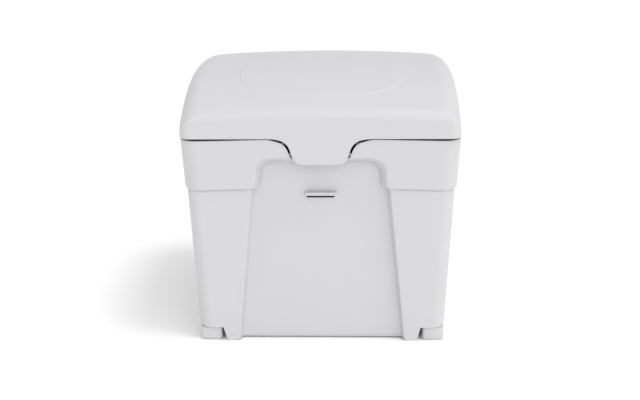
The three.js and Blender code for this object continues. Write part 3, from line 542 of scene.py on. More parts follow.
def skirt_edges():
    """The skirt's lower and upper edges as (along, z), from its tip at the tab round to the back."""
    r = BAND["corner"]
    front, arc, side = BAND["half_x"] - r, r * math.pi / 2, 2 * (BAND["half_y"] - r)
    low = BAND["bottom"]
    hood = hood_lines()[0]
    hood = hood[hood[:, 0] > 47]
    bare = np.linspace(hood[-1][0] + 4, front, 10)
    flat = [(x, low - DROOP * ((x - bare[0]) / (front - bare[0])) ** 2) for x in bare]
    lower = np.concatenate([hood, flat])
    round_to_back = []
    start = front
    for length, steps in ((arc, 10), (side, 18), (arc, 10), (front, 10)):
        round_to_back += [start + length * t for t in np.linspace(0, 1, steps + 1)[1:]]
        start += length
    s_curve = np.concatenate([bezier(TAB_LOWER, 30)[::-1], bezier(TAB_UPPER, 30)[::-1][1:]])
    s_curve += (TAB_GAP, -TAB_GAP)
    s_curve = s_curve[s_curve[:, 1] > 317]
    s_curve[-8:, 1] += np.linspace(0, 1.8, 8)
    rise = bezier([s_curve[-1], (92, 343.0), (125, 341.6), (front, SKIRT_TOP)], 24)[1:]
    upper = np.concatenate([s_curve, rise])
    corner, foot = 30, len(hood) - 1
    above_corner, above_foot = np.searchsorted(upper[:, 0], (106, 145))
    marks = (0, corner, foot, len(lower) - 1)
    marks_above = (0, above_corner, above_foot, len(upper) - 1)
    picks = np.interp(range(len(lower)), marks, marks_above)
    whole = np.arange(len(upper))
    upper = np.column_stack([np.interp(picks, whole, upper[:, 0]), np.interp(picks, whole, upper[:, 1])])
    lower = np.concatenate([lower, [(along, low - DROOP) for along in round_to_back]])
    upper = np.concatenate([upper, [(along, SKIRT_TOP) for along in round_to_back]])
    return lower, upper


def make_skirt():
    lower, upper = skirt_edges()
    shares = [0, 0.1, 0.25, 0.4, 0.6, 0.75, 0.9, 1]
    outer = [[band_point(*(a + (b - a) * share)) for a, b in zip(lower, upper)] for share in shares]
    outer = np.array(outer, float)
    normals = grid_normals(outer, wrap=False)
    inner = outer - normals * WALL
    bottom = rim(outer[0], outer[1], normals[0], WALL, 1.8)
    top = rim(outer[-1], outer[-2], normals[-1], WALL, 1.5)
    rows = np.array([*outer[1:-1], *top, *inner[-2:0:-1], *bottom[::-1]])
    loops = rows.transpose(1, 0, 2)
    left = loops * (-1, 1, 1)
    return grid(np.concatenate([left, loops[::-1][1:]]), wrap=True, caps=("first", "last"))


place("upper_skirt", make_skirt(), SHELL, "upper_unit", ("upper_shell",), sharp=40)


def dip(q, a=0.22, b=0.34):
    """Share of a recess's depth across its side strip: rounded over, straight, then rounded out."""
    slope = 1 / (1 - a / 2 - b / 2)
    if q < a:
        return slope * q * q / (2 * a)
    if q > 1 - b:
        return 1 - slope * (1 - q) ** 2 / (2 * b)
    return slope * (q - a / 2)


STRIP = [0, 0.07, 0.15, 0.22, 0.4, 0.6, 0.66, 0.75, 0.84, 0.92, 1]


def make_hood():
    """The skirt's front turned inwards along its arch, from one foot up behind the tab to the other."""
    overlap, behind_tab = -0.25, 0.3
    rows = []
    for outer, inner in zip(*hood_lines()):
        start = behind_tab if outer[0] < 46 else overlap
        row = []
        for q in [overlap, -0.1, *STRIP[1:]]:
            q = max(q, start)
            x, z = outer + (inner - outer) * q
            z = max(z, BAND["bottom"])
            y = MID_Y - BAND["half_y"] + BAND["draft"] * (BAND["top"] - z)
            row.append((x, y + (HOOD["depth"] * dip(q, 0.5, 0.12) if q > 0 else -0.04), z))
        rows.append(row)
    front = np.array(rows)
    left = front[:0:-1] * (-1, 1, 1)
    front = np.concatenate([left, front]).transpose(1, 0, 2)
    normals = grid_normals(front, wrap=False)
    normals *= -np.sign(normals[..., 1:2])
    back = front - normals * HOOD["wall"]
    lip = rim(front[-1], front[-2], normals[-1], HOOD["wall"], 1.0)
    skin = np.array([*front[:-1], *lip, *back[-2::-1]]).transpose(1, 0, 2)
    return grid(skin, wrap=True, caps=("first", "last"))


place("upper_skirt_hood", make_hood(), SHELL, "upper_unit", ("upper_shell",), sharp=40)


def bowl_half(z, grow=0.0):
    """Half width, half depth and middle of the bowl's outside at a height."""
    t = min(max((z - 261.2) / (342 - 261.2), 0), 1)
    bulge = math.sqrt(1 - (1 - t) ** 2)
    return 53 + 53 * bulge + grow, 53 + 79 * bulge + grow, -20 * bulge


def oval(half_x, half_y, cy, z, power=2.0, sides=96):
    a = np.linspace(0, 2 * math.pi, sides, endpoint=False)
    x = half_x * np.sign(np.cos(a)) * np.abs(np.cos(a)) ** (2 / power)
    y = cy + half_y * np.sign(np.sin(a)) * np.abs(np.sin(a)) ** (2 / power)
    return np.column_stack([x, y, np.full(sides, z)])


def star_ring(outline, cy, z, sides=96):
    """Points of a closed outline, one in each direction from (0, cy), in the order that oval() uses."""
    loop = np.vstack([outline, outline[:1]])
    fine = np.concatenate([a + (b - a) * np.linspace(0, 1, 24)[:, None] for a, b in zip(loop[:-1], loop[1:])])
    angle = np.arctan2(fine[:, 1] - cy, fine[:, 0])
    radius = np.hypot(fine[:, 0], fine[:, 1] - cy)
    order = np.argsort(angle)
    want = np.linspace(0, 2 * math.pi, sides, endpoint=False)
    reach = np.interp(want, angle[order], radius[order], period=2 * math.pi)
    return np.column_stack([reach * np.cos(want), cy + reach * np.sin(want), np.full(sides, z)])


def holed_plate(outline, hole, low, high, edge):
    """A plate with one hole. Outline and hole are functions of an inset and a height that give rings."""
    rows = [outline(edge, low), outline(0, low + edge), outline(0, high - edge), outline(edge, high)]
    rows += [hole(edge, high), hole(0, high - edge), hole(0, low + edge), hole(edge, low)]
    return grid(rows, wrap=True, close=True)


def make_deck_plate():
    z0, z1, front = 333.0, 336.0, -205.0
    half_x = BAND["half_x"] - WALL - 0.7
    half_y = BAND["half_y"] - WALL - 0.7

    def outline(inset, z):
        x, y = half_x - inset, half_y - inset
        edge = rounded_rect(-x, x, MID_Y - y, MID_Y + y, BAND["corner"] - WALL, 8)
        edge = np.vstack([edge, [(-60, MID_Y - y), (-56, front + inset), (56, front + inset), (60, MID_Y - y)]])
        return star_ring(edge, -20, z, 240)

    def hole(inset, z):
        half_across, half_along, cy = bowl_half(z1, 1.0)
        return oval(half_across + inset, half_along + inset, cy, z, sides=240)

    return holed_plate(outline, hole, z0, z1, 0.6)


place("upper_deck", make_deck_plate(), SHELL, "upper_unit", ("upper_shell",), slot="white_shell")


# ---------------------------------------------------------------- cassette shell
def body_face(z, inset=0.0):
    """Half width and half depth of the cassette's outer face at a height."""
    return BODY["half_x"] + BODY["draft_x"] * z - inset, BODY["half_y"] + BODY["draft"] * z - inset


def body_front(z):
    return MID_Y - body_face(z)[1]


ARCH_OUT = bezier(ARCH_OUTER, 200)
ARCH_IN = bezier(ARCH_INNER, 200)
LEVELS = [0, 3, 7, 12, 18, 24, 32, EVEN_FROM, 60, 85, 112, POCKET["bottom"], 170, POCKET["top"], 222, 238]
LEVELS += [SLOT["low"], SLOT["high"], 257, 260.0, 261.0, 261.4, 261.6, 268, 276, COLLAR["top"]]


def level_at(level, low):
    """The height of a row at a column whose lower edge is at low."""
    if level >= EVEN_FROM:
        return level
    return low + (EVEN_FROM - low) * level / EVEN_FROM


def arch_share(z):
    """How far down the arch its outer line reaches a height: 0 at the top, 1 at ARCH_FOOT."""
    return float(np.interp(-z, -ARCH_OUT[:, 1], np.linspace(0, 1, len(ARCH_OUT))))


def on_arch(share):
    index = np.linspace(0, 1, len(ARCH_OUT))
    out = [np.interp(share, index, ARCH_OUT[:, k]) for k in (0, 1)]
    back = [np.interp(share, index, ARCH_IN[:, k]) for k in (0, 1)]
    return out, back


def recess_lines():
    """Pairs of (x, z) on the recess's outer and inner edges, from its foot up and over to the middle."""
    pairs = []
    for level in LEVELS:
        z = level_at(level, RECESS_LOW)
        if z <= ARCH_FOOT:
            outer = (RECESS["outer"] - RECESS["outer_slope"] * z, z)
            inner = (RECESS["inner"] - RECESS["inner_slope"] * z, z)
            pairs.append((outer, inner))
        else:
            pairs.append(on_arch(arch_share(z)))
    for share in np.linspace(arch_share(COLLAR["top"]), 0, 14)[1:]:
        pairs.append(on_arch(share))
    return np.array(pairs, float)


SLOT_EDGE = 0.213  # share of the recess floor's half width that the blade's slot takes up
ACROSS = [0, 0.1, SLOT_EDGE, 0.33, 0.48, 0.64, 0.8, 0.92, 1]
FLANGE = (0, 2.5, 5)  # steps outwards from the arch's edge
LIFT = (ARCH_OUTER[0][1], 318.2, 320)  # heights of the strip that goes on up over the arch


def recess_point(outer, inner, q):
    x, z = np.asarray(outer) + (np.asarray(inner) - outer) * q
    return x, body_front(z) + RECESS["depth"] * dip(q), z


def make_recess():
    """The right half of the front recess: its floor, side strip, and the flange behind the skirt's arch."""
    pairs = recess_lines()
    strip = grid([[recess_point(outer, inner, q) for q in STRIP] for outer, inner in pairs])
    floor_rows = []
    for outer, inner in pairs:
        x, y, z = recess_point(outer, inner, 1)
        floor_rows.append([(x * share, y, z) for share in ACROSS])
    points, faces = grid(floor_rows)
    low, high = LEVELS.index(SLOT["low"]), LEVELS.index(SLOT["high"])
    inside_slot = ACROSS.index(SLOT_EDGE)
    across = len(ACROSS)
    faces = [f for f in faces if not (low * across <= f[0] < high * across and f[0] % across < inside_slot)]
    outer, inner = pairs[-1]
    top = grid(
        [[recess_point((outer[0] * s, outer[1]), (inner[0] * s, inner[1]), q) for q in STRIP] for s in ACROSS]
    )
    free = pairs[len(LEVELS) - 1:]
    flange_rows = []
    for outer, inner in free:
        away = (outer - inner) / np.linalg.norm(outer - inner)
        flange_rows.append([tuple(outer + away * step) for step in FLANGE])
    flange = grid([[(x, body_front(z), z) for x, z in row] for row in flange_rows])
    lift = grid([[(x, body_front(z), z) for z in LIFT] for x in outer[0] * np.array(ACROSS)])
    return joined(strip, (points, faces), top, flange, lift)


def shell_columns():
    """Columns of the cassette's walls from the recess round to the middle of the back: a kind, a place
    along its side, and the height of the shell's lower edge there."""
    columns = []
    for share in (0, 0.1, 0.25, 0.5, 0.75, 0.9, 1):
        columns.append(("leg", share, RECESS_LOW * abs(2 * share - 1) ** 3))
    columns += [("front", CUT["high"], CUT["top"]), ("front", 168.0, CUT["top"])]
    columns += [("front_corner", a, CUT["top"]) for a in np.linspace(0, 90, 13)]
    notch, leg_end = CUT["high"] - 2, CUT["low"] - 2
    columns += [("side", MID_Y - notch, CUT["top"]), ("side", MID_Y - leg_end, 0.6)]
    columns += [("side", y, 0.0) for y in (-148, -90, -30, 30, 90, 138)]
    columns += [("side", MID_Y + leg_end, 0.6), ("side", MID_Y + notch, CUT["top"])]
    columns += [("back_corner", a, CUT["top"]) for a in np.linspace(0, 90, 13)]
    columns += [("back", 168.0, CUT["top"]), ("back", CUT["high"], CUT["top"]), ("back", CUT["low"], 0.6)]
    columns += [("back", x, 0.0) for x in (146, POCKET["half_x"], 90, 45, 0)]
    return columns


def shell_point(kind, place_on, z, inset):
    half_x, half_y = body_face(z, inset)
    r = BODY["corner"] - inset
    if kind == "leg":
        edge = RECESS["outer"] - RECESS["outer_slope"] * z if z <= ARCH_FOOT else on_arch(arch_share(z))[0][0]
        x = edge + (CUT["low"] - edge) * place_on
        near = min(1, (x - edge) / 14)
        return x, MID_Y - body_face(z, inset * near)[1], z
    if kind == "front":
        return place_on, MID_Y - half_y, z
    if kind == "back":
        return place_on, MID_Y + half_y, z
    if kind == "side":
        return half_x, place_on, z
    a = math.radians(place_on)
    if kind == "front_corner":
        return half_x - r + r * math.sin(a), MID_Y - half_y + r - r * math.cos(a), z
    return half_x - r + r * math.cos(a), MID_Y + half_y - r + r * math.sin(a), z


INSET_AT = {260.0: 1.4, 261.0: 1.6, 261.4: 1.9}
INSET_AT |= {level: COLLAR["inset"] for level in (261.6, 268, 276, COLLAR["top"])}


def make_walls():
    """The right half of the cassette's walls, with the pocket for the pour spout left open at the back."""
    columns = shell_columns()
    rows = []
    for level in LEVELS:
        inset = INSET_AT.get(level, 0.0)
        rows.append([shell_point(kind, at, level_at(level, low), inset) for kind, at, low in columns])
    points, faces = grid(rows)
    across = len(columns)
    first = columns.index(("back", POCKET["half_x"], 0.0))
    low, high = LEVELS.index(POCKET["bottom"]), LEVELS.index(POCKET["top"])
    faces = [f for f in faces if not (low <= f[0] // across < high and f[0] % across >= first)]
    return points, faces


place("cassette_shell", both(joined(make_recess(), make_walls())), SHELL, "cassette", ("cassette_tub",),
      sharp=34, thicken=2.6)


def make_underside():
    """The floor of the tub, and the walls and ceilings of the corner cut-outs."""
    middle = block((-151, 151), (-186, 181), (3.0, 5.6), 6)
    wide = block((-192, 192), (-154, 144), (3.1, 5.5), 6)
    corners = []
    for back in (False, True):
        half_x, half_y = body_face(CUT["top"], 3.4)
        ceiling = prism(
            soften([(157, half_y), (157, 160.5), (half_x, 160.5), (half_x, half_y)], 14, steps=8),
            CUT["top"] + 0.4, CUT["top"] + 3, 0.5,
        )
        slant = [(151.8, 1.2), (CUT["low"] - 0.1, 1.2)]
        slant += [(CUT["high"] - 0.1, CUT["top"]), (157, CUT["top"] + 2)]
        side_wall = prism(slant, -half_y, -157, 0.3, "y")
        ceiling = (ceiling[0] * (1, -1, 1), ceiling[1])
        end_wall = prism([(-y, z) for y, z in slant][::-1], 154, half_x, 0.3, "x")
        group = joined(ceiling, side_wall, end_wall)
        turn = (1, -1, 1) if back else (1, 1, 1)
        faces = group[1]
        corners.append((group[0] * turn + (0, MID_Y, 0), faces))
    return joined(middle, wide, both(joined(*corners)))


place("cassette_underside", make_underside(), SHELL, "cassette", ("cassette_tub",))


def make_pocket():
    """The lining of the pocket in the back, with a raised frame round its mouth."""
    x, low, high = POCKET["half_x"], POCKET["bottom"], POCKET["top"]
    levels = [(-6, 2.0), (-6, -0.6), (-5.4, -1.2), (-1.4, -1.2), (-0.4, -0.6), (0.3, 0.6), (0.5, 6)]
    rows = []
    for grow, behind in levels:
        ring = rounded_rect(-x + grow, x - grow, low + grow, high - grow, max(9 - grow, 3), 8)
        rows.append([(px, MID_Y + body_face(pz)[1] - behind, pz) for px, pz in ring])
    for grow, y in ((0.6, 160), (0.7, 141), (1.5, 138), (4, POCKET["front"] + 0.2)):
        ring = rounded_rect(-x + grow, x - grow, low + grow, high - grow, 8, 8)
        rows.append([(px, y, pz) for px, pz in ring])
    return grid(rows, wrap=True, caps=("last",))


place("pocket_lining", make_pocket(), SHELL, "cassette", ("cassette_tub",))


def make_cassette_deck():
    """The plate over the waste, with the raised round turret that carries the slide valve."""
    z0, z1 = 205.3, 208.3
    half_x, half_y = body_face(208, 6.2)

    def outline(inset, z):
        x, y = half_x - inset, half_y - inset
        front = body_front(208) + RECESS["depth"] + 5 + inset
        edge = rounded_rect(-x, x, MID_Y - y, MID_Y + y, BODY["corner"] - 5, 8)
        edge = np.vstack([edge, [(-118, MID_Y - y), (-112, front), (112, front), (118, MID_Y - y)]])
        return star_ring(edge, 0, z, 240)

    def ring(r, z):
        return oval(r, r, 0, z, sides=240)

    rows = [outline(0.6, z0), outline(0, z0 + 0.6), outline(0, z1 - 0.6), outline(0.6, z1)]
    rows += [ring(84, z1), ring(79, z1 + 0.5), ring(76.6, z1 + 2.5), ring(76, z1 + 6), ring(76, 242)]
    rows += [ring(75.4, 243.7), ring(74, 244.2), ring(49.5, 244.2), ring(48.3, 243.8), ring(48, 242.8)]
    rows += [ring(48.2, 241.4), ring(72, 241.2), ring(73, 240), ring(73, z0 + 0.4), ring(73.5, z0)]
    return grid(rows, wrap=True, close=True)


replace("cassette_deck", make_cassette_deck())

# feet
for side_name, side in (("left", -1), ("right", 1)):
    for end_name, end in (("front", -1), ("rear", 1)):
        cx, cy = side * 180.2, MID_Y + end * 175.5
        foot = rounded_rect(cx - 17.4, cx + 17.4, cy - 13.4, cy + 13.4, 6, 6)
        replace(f"foot_{end_name}_{side_name}", prism(foot, 0.6, 21.7, 1.6))
        pad = [(0.02, 0), (8.3, 0), (9.2, 0.4), (9.5, 1.2), (9.5, 3.1), (0.02, 3.1)]
        replace(f"foot_pad_{end_name}_{side_name}", lathe(pad, cx, cy, sides=48))


def make_pull():
    """The finger ledge round the end of the slide valve's blade: a plate that slopes to its front edge."""
    front, back, low, high, slope = -205.4, -195.2, 249.8, 254.6, 0.06
    outline = soften([(-24, front), (24, front), (25, back), (-25, back)], 1.8)
    points, faces = prism(outline, low, high, 1.1)
    points = np.array(points)
    upper = points[:, 2] > (low + high) / 2
    points[upper, 2] += slope * (points[upper, 1] - front)
    return points, faces


replace("blade_pull", make_pull(), sharp=50)


# ---------------------------------------------------------------- slide valve
def squared(x0, x1, y0, y1, r):
    """A rounded rectangle as a function of an inset and a height, for holed_plate."""
    def ring(inset, z):
        outline = rounded_rect(x0 + inset, x1 - inset, y0 + inset, y1 - inset, max(r - inset, 0.5), 6)
        return star_ring(outline, 0, z, 160)
    return ring


def round_hole(r):
    def ring(inset, z):
        return oval(r + inset, r + inset, 0, z, sides=160)
    return ring


VALVE_OUTLINE = (-72, 72, -178, 76, 4)
BLADE_TOP = 253.8
base_plate = holed_plate(squared(*VALVE_OUTLINE), round_hole(48), 244.6, 249.7, 0.6)
rails = both(block((61, 72), (-178, 76), (249, BLADE_TOP), 2, 0.5))
back_stop = block((-61.5, 61.5), (63, 76), (249, BLADE_TOP - 0.05), 2, 0.5)
replace("valve_base", joined(base_plate, rails, back_stop))
cover_plate = holed_plate(squared(*VALVE_OUTLINE), round_hole(48), 254.1, 257.1, 0.7)
lip = lathe([(48.6, 256.9), (48.6, 257.35), (57.5, 257.35), (58.2, 256.9)], sides=96, closed=True)
replace("valve_cover", joined(cover_plate, lip))
for index, (x, y) in enumerate(((66.5, -150), (66.5, 64), (-66.5, -150), (-66.5, 64))):
    head = [(0.02, 247), (1.9, 247), (1.9, 257.4), (3.3, 257.4), (3.7, 257.8), (3.5, 258.7), (2.7, 259.4)]
    head += [(1.6, 259.7), (1.5, 258.6), (0.02, 258.5)]
    replace(f"valve_screw_{index + 1}", lathe(head, x, y, sides=36))

seal = [(47, 257.4), (56, 257.4), (56, 258.4), (55.2, 258.9), (54.6, 260.4), (53.6, 260.8), (46.2, 260.8)]
seal += [(45, 260.6), (45.2, 260.0), (46.8, 259.4)]
replace("bowl_lip_seal", lathe(soften(seal, 0.5), sides=96, closed=True))


def make_blade():
    front, back = -62, 62
    disc = prism(soften(corners_of(-60, 60, front, back), 20, steps=8), 250, 253, 0.6)
    stem = block((-20, 20), (-199.6, front + 8), (250.05, 252.95), 3, 0.5)
    rib = block((-4, 4), (-190, front - 4), (252.6, 253.6), 3, 0.3)
    return joined(disc, stem, rib)


replace("valve_blade", make_blade())


# ---------------------------------------------------------------- pour spout, vent
def spout_path(low):
    bend = 24
    x, y, z = SPOUT["x"], SPOUT["y"], SPOUT["z"]
    turn = np.radians(np.linspace(0, 90, 15))
    elbow = [(x + bend - bend * math.cos(a), y, z - bend + bend * math.sin(a)) for a in turn]
    return [(x, y, low), (x, y, low + 3), (x, y, z - bend - 3), *elbow, (0, y, z), (SPOUT["end"], y, z)]


def make_spout():
    path = spout_path(131.6)
    outside = sweep(path, circle(SPOUT["r"] - 0.2, 48), (0, 1, 0))
    inside = sweep(path, circle(SPOUT["bore"], 48), (0, 1, 0))
    tube = grid([*outside, *inside[::-1]], wrap=True, close=True)
    flange = [(18, 131.5), (22.3, 131.5), (22.5, 132.2), (22.5, 133.6), (22, 134.1), (18, 134.1)]
    bead = [(18.6, 18), (20.6, 18), (21.6, 19), (21.6, 21), (20.6, 22), (18.6, 22)]
    tread = [(18.5, 26), (20.4, 26), (20.4, 27), (19.8, 27), (18.5, 27)]
    rings = [lathe(bead, SPOUT["y"], SPOUT["z"], "x", 64, closed=True)]
    rings.append(lathe(flange, SPOUT["x"], SPOUT["y"], closed=True))
    rings.append(lathe(tread, SPOUT["y"], SPOUT["z"], "x", 64, closed=True))
    return joined(tube, *rings)


replace("pour_spout", make_spout(), sharp=40)
collar = [(20.4, 140.3), (26.4, 140.3), (27, 140.9, 1), (27, 145.4, 1), (26.2, 147), (22.4, 147), (20.4, 146)]
replace("spout_collar", lathe(collar, SPOUT["x"], SPOUT["y"], sides=120, lobes=12, depth=1.0, closed=True))


def make_screw_cap(r, low, high, bore, floor, lobes, depth, x, y, axis):
    """A fluted cap with a rounded crown and a shallow dish on top, hollow from below."""
    crown = [(r - 0.8, low), (r, low + 1, 1), (r, high - 5, 1), (r - 0.8, high - 2.2, 0.8)]
    crown += [(r - 3, high - 0.4), (r - 5, high), (r - 7, high - 0.1), (r - 8.5, high - 1.1)]
    crown += [(0.02, high - 1.3)]
    hollow = [(0.02, floor), (bore - 0.6, floor), (bore, floor - 0.8), (bore, low + 0.5), (bore + 0.5, low)]
    return lathe([*hollow, *crown], x, y, axis, 160, lobes, depth)


replace("spout_cap", make_screw_cap(24.5, 30, 56, 20.9, 50.8, 10, 1.5, SPOUT["y"], SPOUT["z"], "x"), sharp=45)
washer = corners_of(16, 19.8, 48.3, 50.3)
replace("spout_cap_seal", lathe(soften(washer, 0.6), SPOUT["y"], SPOUT["z"], "x", 64, closed=True))

button = [(0.02, 134), (7.6, 134), (8, 134.4), (8, 135.6), (7.6, 136), (4, 136)]
button += [(4, 154), (7.6, 154), (8, 153.6), (8, 145.5), (9.1, 145.5), (9.5, 146)]
button += [(9.5, 154.4), (9, 155.5), (8, 156), (6, 155.7), (0.02, 155.2)]
replace("vent_button", lathe(button, *VENT, sides=72))


def make_spring():
    turns, low, high = 4.5, 141.0, 153.0
    a = np.linspace(0, turns * 2 * math.pi, 190)
    x, y = VENT[0] + 6 * np.cos(a), VENT[1] + 6 * np.sin(a)
    path = np.column_stack([x, y, low + (high - low) * a / a[-1]])
    return grid(sweep(path, circle(0.5, 10)), wrap=True, caps=("first", "last"))


spring = replace("vent_spring", make_spring(), sharp=60)
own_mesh(spring)


# ---------------------------------------------------------------- carry handle
def make_handle():
    x, y, top, low = HANDLE["x"], HANDLE["y"], HANDLE["z"], HANDLE["z"] - HANDLE["drop"]
    bend = 13
    turn = np.radians(np.linspace(0, 90, 12))
    down = [(-x + bend - bend * math.cos(a), y, low + bend - bend * math.sin(a)) for a in turn]
    path = [(-x, y, top - 4.2), (-x, y, top - 10), (-x, y, low + bend + 4), *down, (-x + bend + 10, y, low)]
    path += [(px * -1, py, pz) for px, py, pz in path[::-1]]
    section = oval(3.9, 4.9, 0, 0, power=2.8, sides=40)[:, :2]
    bow = grid(sweep(path, section, (0, 1, 0)), wrap=True, caps=("first", "last"))
    eye = bearing(x - 4, x + 4, 0.6, y, top, 48)
    return joined(bow, both(eye))


def make_grip():
    y, z = HANDLE["y"], HANDLE["z"] - HANDLE["drop"]
    profile = [(4.4, -48), (7.6, -48), (8.2, -47.2), (8.2, -42)]
    for rib in range(-6, 7):
        middle = rib * 6.4
        profile += [(8.2, middle - 1.6), (7.6, middle - 1.1), (7.6, middle + 1.1), (8.2, middle + 1.6)]
    profile += [(8.2, 42), (8.2, 47.2), (7.6, 48), (4.4, 48)]
    return lathe(profile, y, z, "x", 48, closed=True)


def make_handle_bracket():
    wall = MID_Y + body_face(HANDLE["z"])[1] + 0.3
    z = HANDLE["z"]
    ear = [(wall, z + 13), (wall, z - 13), (203, z - 8), (206.4, z - 3), (206.4, z + 3), (203, z + 8)]
    plate = [(wall, z + 17), (wall, z - 17), (wall + 2.4, z - 16), (wall + 2.4, z + 16)]
    return joined(prism(soften(ear, 2), 70.6, 80, 0.7, "x"), prism(soften(plate, 0.8), 70.7, 92, 0.8, "x"))


def make_handle_pin():
    profile = [(0.02, 61), (2.6, 61), (3, 61.4), (3, 80.3), (4.6, 80.3)]
    profile += [(4.8, 80.8), (4, 82), (2, 82.4), (0.02, 82.4)]
    return lathe(profile, HANDLE["y"], HANDLE["z"], "x", 32)


replace("carry_handle", make_handle(), sharp=40)
replace("handle_grip", make_grip(), sharp=40)
replace_pairs(handle_bracket=make_handle_bracket(), handle_pin=make_handle_pin())


# ---------------------------------------------------------------- latch between the units
def make_latch_guide():
    back = block((-98, -39), (197.1, 202.9), (224, 259.2), 2, 0.8)
    lips = [block((-98, -39), (202.4, 209.7), z, 1.5, 0.6) for z in ((224, 227.6), (256.4, 259.2))]
    turned_in = [block((-98, -39), (207.8, 209.7), z, 0.8, 0.5) for z in ((224.2, 232), (252, 259))]
    return joined(back, *lips, *turned_in)


replace("latch_guide", make_latch_guide())
slide = block((-84, -40), (203.4, 207.4), (228, 256), 1.5, 0.6)
tongue = [(-42, 243.5), (-30, 243.5), (-28.5, 245), (-28.5, 249.5), (-30, 251), (-42, 251)]
tongue = prism(soften(tongue, 0.8), 203.45, 207.35, 0.5, "y")
thumb = [block((x, x + 2.4), (206.8, 213), (233, 251), 1, 0.6) for x in (-70, -66, -62)]
replace("latch_slider", joined(slide, tongue, *thumb))
catch = [block((-26, -6), (202.1, 210), (252, 284), 1.2, 0.7)]
catch.append(block((-26, -6), (202.1, 210), (238, 242.5), 1.2, 0.6))
catch.append(block((-26, -6), (208, 210), (241, 253), 0.8, 0.3))
catch.append(block((-12, -6), (202.1, 209.5), (241, 253), 0.8, 0.3))
replace("latch_catch", joined(*catch))


# ---------------------------------------------------------------- bowl
def make_bowl():
    """The bowl's wall, open below for the valve, with a wide flange and a rolled upper rim."""
    def ring(z, grow):
        half_x, half_y, cy = bowl_half(z, grow)
        return oval(half_x, half_y, cy, z, sides=120)

    heights = [261.2, 262.0, 264, 267, 271, 277, 285, 294, 304, 315, 326, 333]
    rows = [ring(z, -WALL) for z in heights[::-1]]
    rows[-1] = ring(261.5, -WALL)
    rows.append(ring(261.2, -WALL + 0.4))
    rows.append(ring(261.2, -0.6))
    rows += [ring(z + 0.5 * (z < 262), 0) for z in heights]
    rows.append(ring(336.2, 0))
    rows += [oval(145.6, 157.6, -20, 336.3, sides=120), oval(146, 158, -20, 336.8, sides=120)]
    rows += [oval(146, 158, -20, 338.3, sides=120), oval(145.6, 157.6, -20, 338.8, sides=120)]
    rows += [ring(338.8, 3.4), ring(339.3, 1.6), ring(340.6, 0.4), ring(341.6, -0.7), ring(342, -1.6)]
    rows += [ring(341.7, -2.5), ring(340, -WALL)]
    return grid(rows, wrap=True, close=True)


replace("bowl", make_bowl(), sharp=40)
nozzle_body = prism(soften(corners_of(-6, 6, 117, 143), 2.5), 320, 332, 1.2)
nozzle_lips = lathe([(0.02, 112.4), (2, 112.4), (2.6, 113), (2.6, 117.5), (0.02, 117.5)], 0, 326, "y", 24)
replace("flush_nozzle", joined(nozzle_body, nozzle_lips))


# ---------------------------------------------------------------- flush filler and pump
def make_fill_cap():
    x, y = -CORNER[0], CORNER[1]
    turn = make_screw_cap(27, 337, 349, 22, 346.8, 12, 1.8, x, y, "z")
    bar = prism(soften(corners_of(x - 19, x + 19, y - 3, y + 3), 2.8), 347, 351, 1.2)
    return joined(turn, bar)


replace("fill_cap", make_fill_cap(), sharp=45)
washer = soften(corners_of(17, 20.8, 344.3, 346.4), 0.6)
replace("fill_cap_seal", lathe(washer, -CORNER[0], CORNER[1], closed=True))


def make_pump_body():
    outside = [(6, 254), (6.4, 254.5), (6.4, 262.2), (19.4, 262.2), (20, 263), (20, 336.3), (26.6, 336.3)]
    outside += [(27, 336.8), (27, 338.8), (26.5, 339.3)]
    inside = [(17.6, 339.3), (17, 338.7), (17, 265), (4.3, 264.6), (4, 254.4), (4.4, 254)]
    barrel = lathe([*outside, *inside], *CORNER, closed=True)
    x = CORNER[0]
    pipe = lathe([(2.2, x - 23.5), (3.1, x - 23.5), (3.5, x - 23), (3.5, x - 19), (2.2, x - 19)],
                 CORNER[1], 326, "x", 32, closed=True)
    return joined(barrel, pipe)


replace("pump_body", make_pump_body())
tube = [(6.5, 219), (8.2, 219), (8.5, 219.4), (8.5, 260.6), (8.2, 261), (6.5, 261)]
replace("suction_tube", lathe(tube, *CORNER, sides=48, closed=True))


def make_bellows():
    low, high, folds = 339.7, 368.9, 4
    steps = np.linspace(0, 1, 8 * folds + 1)
    outer = [(17.2 - 1.7 * math.cos(2 * math.pi * folds * s), low + (high - low) * s) for s in steps]
    inner = [(r - 1.4, z) for r, z in outer[::-1]]
    return lathe([*outer, *inner], *CORNER, sides=72, closed=True)


bellows = replace("pump_bellows", make_bellows(), sharp=80)
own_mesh(bellows)

button = [(0.02, 292), (16, 292), (16.4, 292.4), (16.4, 295.6), (16, 296), (4, 296)]
button += [(4, 369.3), (22, 369.3), (23, 370.4), (23, 374), (22.4, 375.4), (21, 376)]
button += [(19, 375.8), (16.5, 374.9), (9, 374.3), (0.02, 374.1)]
replace("pump_button", lathe(button, *CORNER, sides=96))


def make_flush_hose():
    line = [(138, 150), (126, 150), (100, 147), (70, 141), (40, 138), (18, 137), (6.6, 137)]
    steps = np.linspace(0, len(line) - 1, 64)
    whole = np.arange(len(line))
    x = np.interp(steps, whole, [p[0] for p in line])
    y = np.interp(steps, whole, [p[1] for p in line])
    smooth = np.convolve(np.pad(y, 4, "edge"), np.ones(9) / 9, "valid")
    path = np.column_stack([x, smooth, np.full(64, 326.0)])
    return grid(sweep(path, circle(4, 32)), wrap=True, caps=("first", "last"))


replace("flush_hose", make_flush_hose(), sharp=60)


